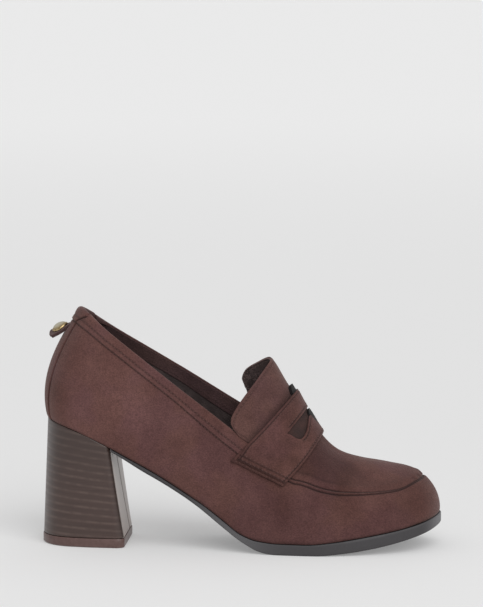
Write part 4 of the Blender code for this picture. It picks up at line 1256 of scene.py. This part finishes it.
def buildStrapStitches():
    cut, run = strapCut, strapRun()
    limit = 1 - cut["endStep"] / run
    inset = cut["edgeRow"] / cut["width"]
    stop = limit - stitchCut["strapStart"] / run
    ways = np.linspace(-stop, stop, 300)
    slot = np.linspace(-0.49, 0.49, 160)
    rows = [strapPath(ways, strapBackAt(ways) + inset), strapPath(ways, 1 - inset * 0.95),
            strapPath(slot, cut["slotBack"] - inset), strapPath(slot, slotFrontAt(slot) + inset)]
    across = np.linspace(cut["sideStep"] / cut["width"] + inset * 0.7, 1 - inset * 0.7, 60)
    rows += [strapPath(end * (limit - step / run), across) for end in (-1, 1) for step in cut["endRows"]]
    sewn("strap_stitches", hideThread, rows, length=1.45, gap=1.05, width=0.65)
    across, low = np.linspace(0.05, 0.95, 60), cut["layer"] + stitchCut["strapEndSunk"]
    rows = [strapPath(end * (1 - cut["backingRow"] / run), across, low) for end in (-1, 1)]
    sewn("strap_end_stitches", hideThread, rows, length=1.3, gap=0.9, rise=0.4)


buildStitches()
buildStrapStitches()
print("stitches sewn")


# Studio
studio = {
    "target": (0.0, 0.0, 0.1455), "distance": 1.8, "azimuth": 4.2, "elevation": 6.5,
    "sensor": 36.0, "focal": 3000 / 607 * 36,  # millimetres, with the sensor on the picture's long side
    "floorRadius": 40.0, "floorColor": rgb(206, 206, 206), "floorPaintedLight": 0.2, "ambient": 0.56,
    "sunWay": (-0.5, 1.0, -0.9), "sunStrength": 1.7, "sunWidth": 55.0,
}


def buildFloor():
    bpy.ops.object.select_all(action="DESELECT")
    bpy.ops.mesh.primitive_circle_add(vertices=96, radius=studio["floorRadius"], fill_type="NGON")
    floor = bpy.context.object
    floor.name = "floor"
    made, tree, shader = newMaterial("paleFloor", studio["floorColor"], 0.8, Specular_IOR_Level=0.1,
                                     Emission_Strength=studio["floorPaintedLight"])
    # painted light: the floor glows, brighter in front of the shoe and far behind it, which also lightens the
    # shadows on it
    depth = addNode(tree, "SeparateXYZ", {"Vector": objectPlace(tree)}).outputs["Y"]
    near, far = spread(tree, depth, -0.3, 0.5, 1.2, 1.02), spread(tree, depth, 1.2, 5.0, 0.0, 0.3)
    tone = calc(tree, "ADD", near, far)
    feed(tree, shader, Emission_Color=colorOf(tree, tone, tone, tone))
    floor.data.materials.append(made)


def buildLight():
    world = bpy.data.worlds.new("studioLight")
    world.use_nodes = True
    sky = world.node_tree.nodes["Background"].inputs
    sky["Color"].default_value = (1, 1, 1, 1)
    sky["Strength"].default_value = studio["ambient"]
    bpy.context.scene.world = world
    sun = bpy.data.lights.new("keySun", "SUN")
    sun.energy = studio["sunStrength"]
    sun.angle = math.radians(studio["sunWidth"])
    lamp = addToScene(bpy.data.objects.new("keySun", sun))
    lamp.rotation_euler = Vector(studio["sunWay"]).to_track_quat("-Z", "Y").to_euler()


def buildCamera():
    a, e = math.radians(studio["azimuth"]), math.radians(studio["elevation"])
    back = Vector((math.sin(a) * math.cos(e), -math.cos(a) * math.cos(e), math.sin(e)))
    data = bpy.data.cameras.new("photoCamera")
    data.lens = studio["focal"]
    data.sensor_width = studio["sensor"]
    data.clip_end = 100.0
    camera = addToScene(bpy.data.objects.new("photoCamera", data))
    camera.location = Vector(studio["target"]) + back * studio["distance"]
    camera.rotation_euler = (-back).to_track_quat("-Z", "Y").to_euler()
    bpy.context.scene.camera = camera


buildFloor()
buildLight()
buildCamera()
bpy.context.scene.view_settings.view_transform = "Standard"
print("studio set")
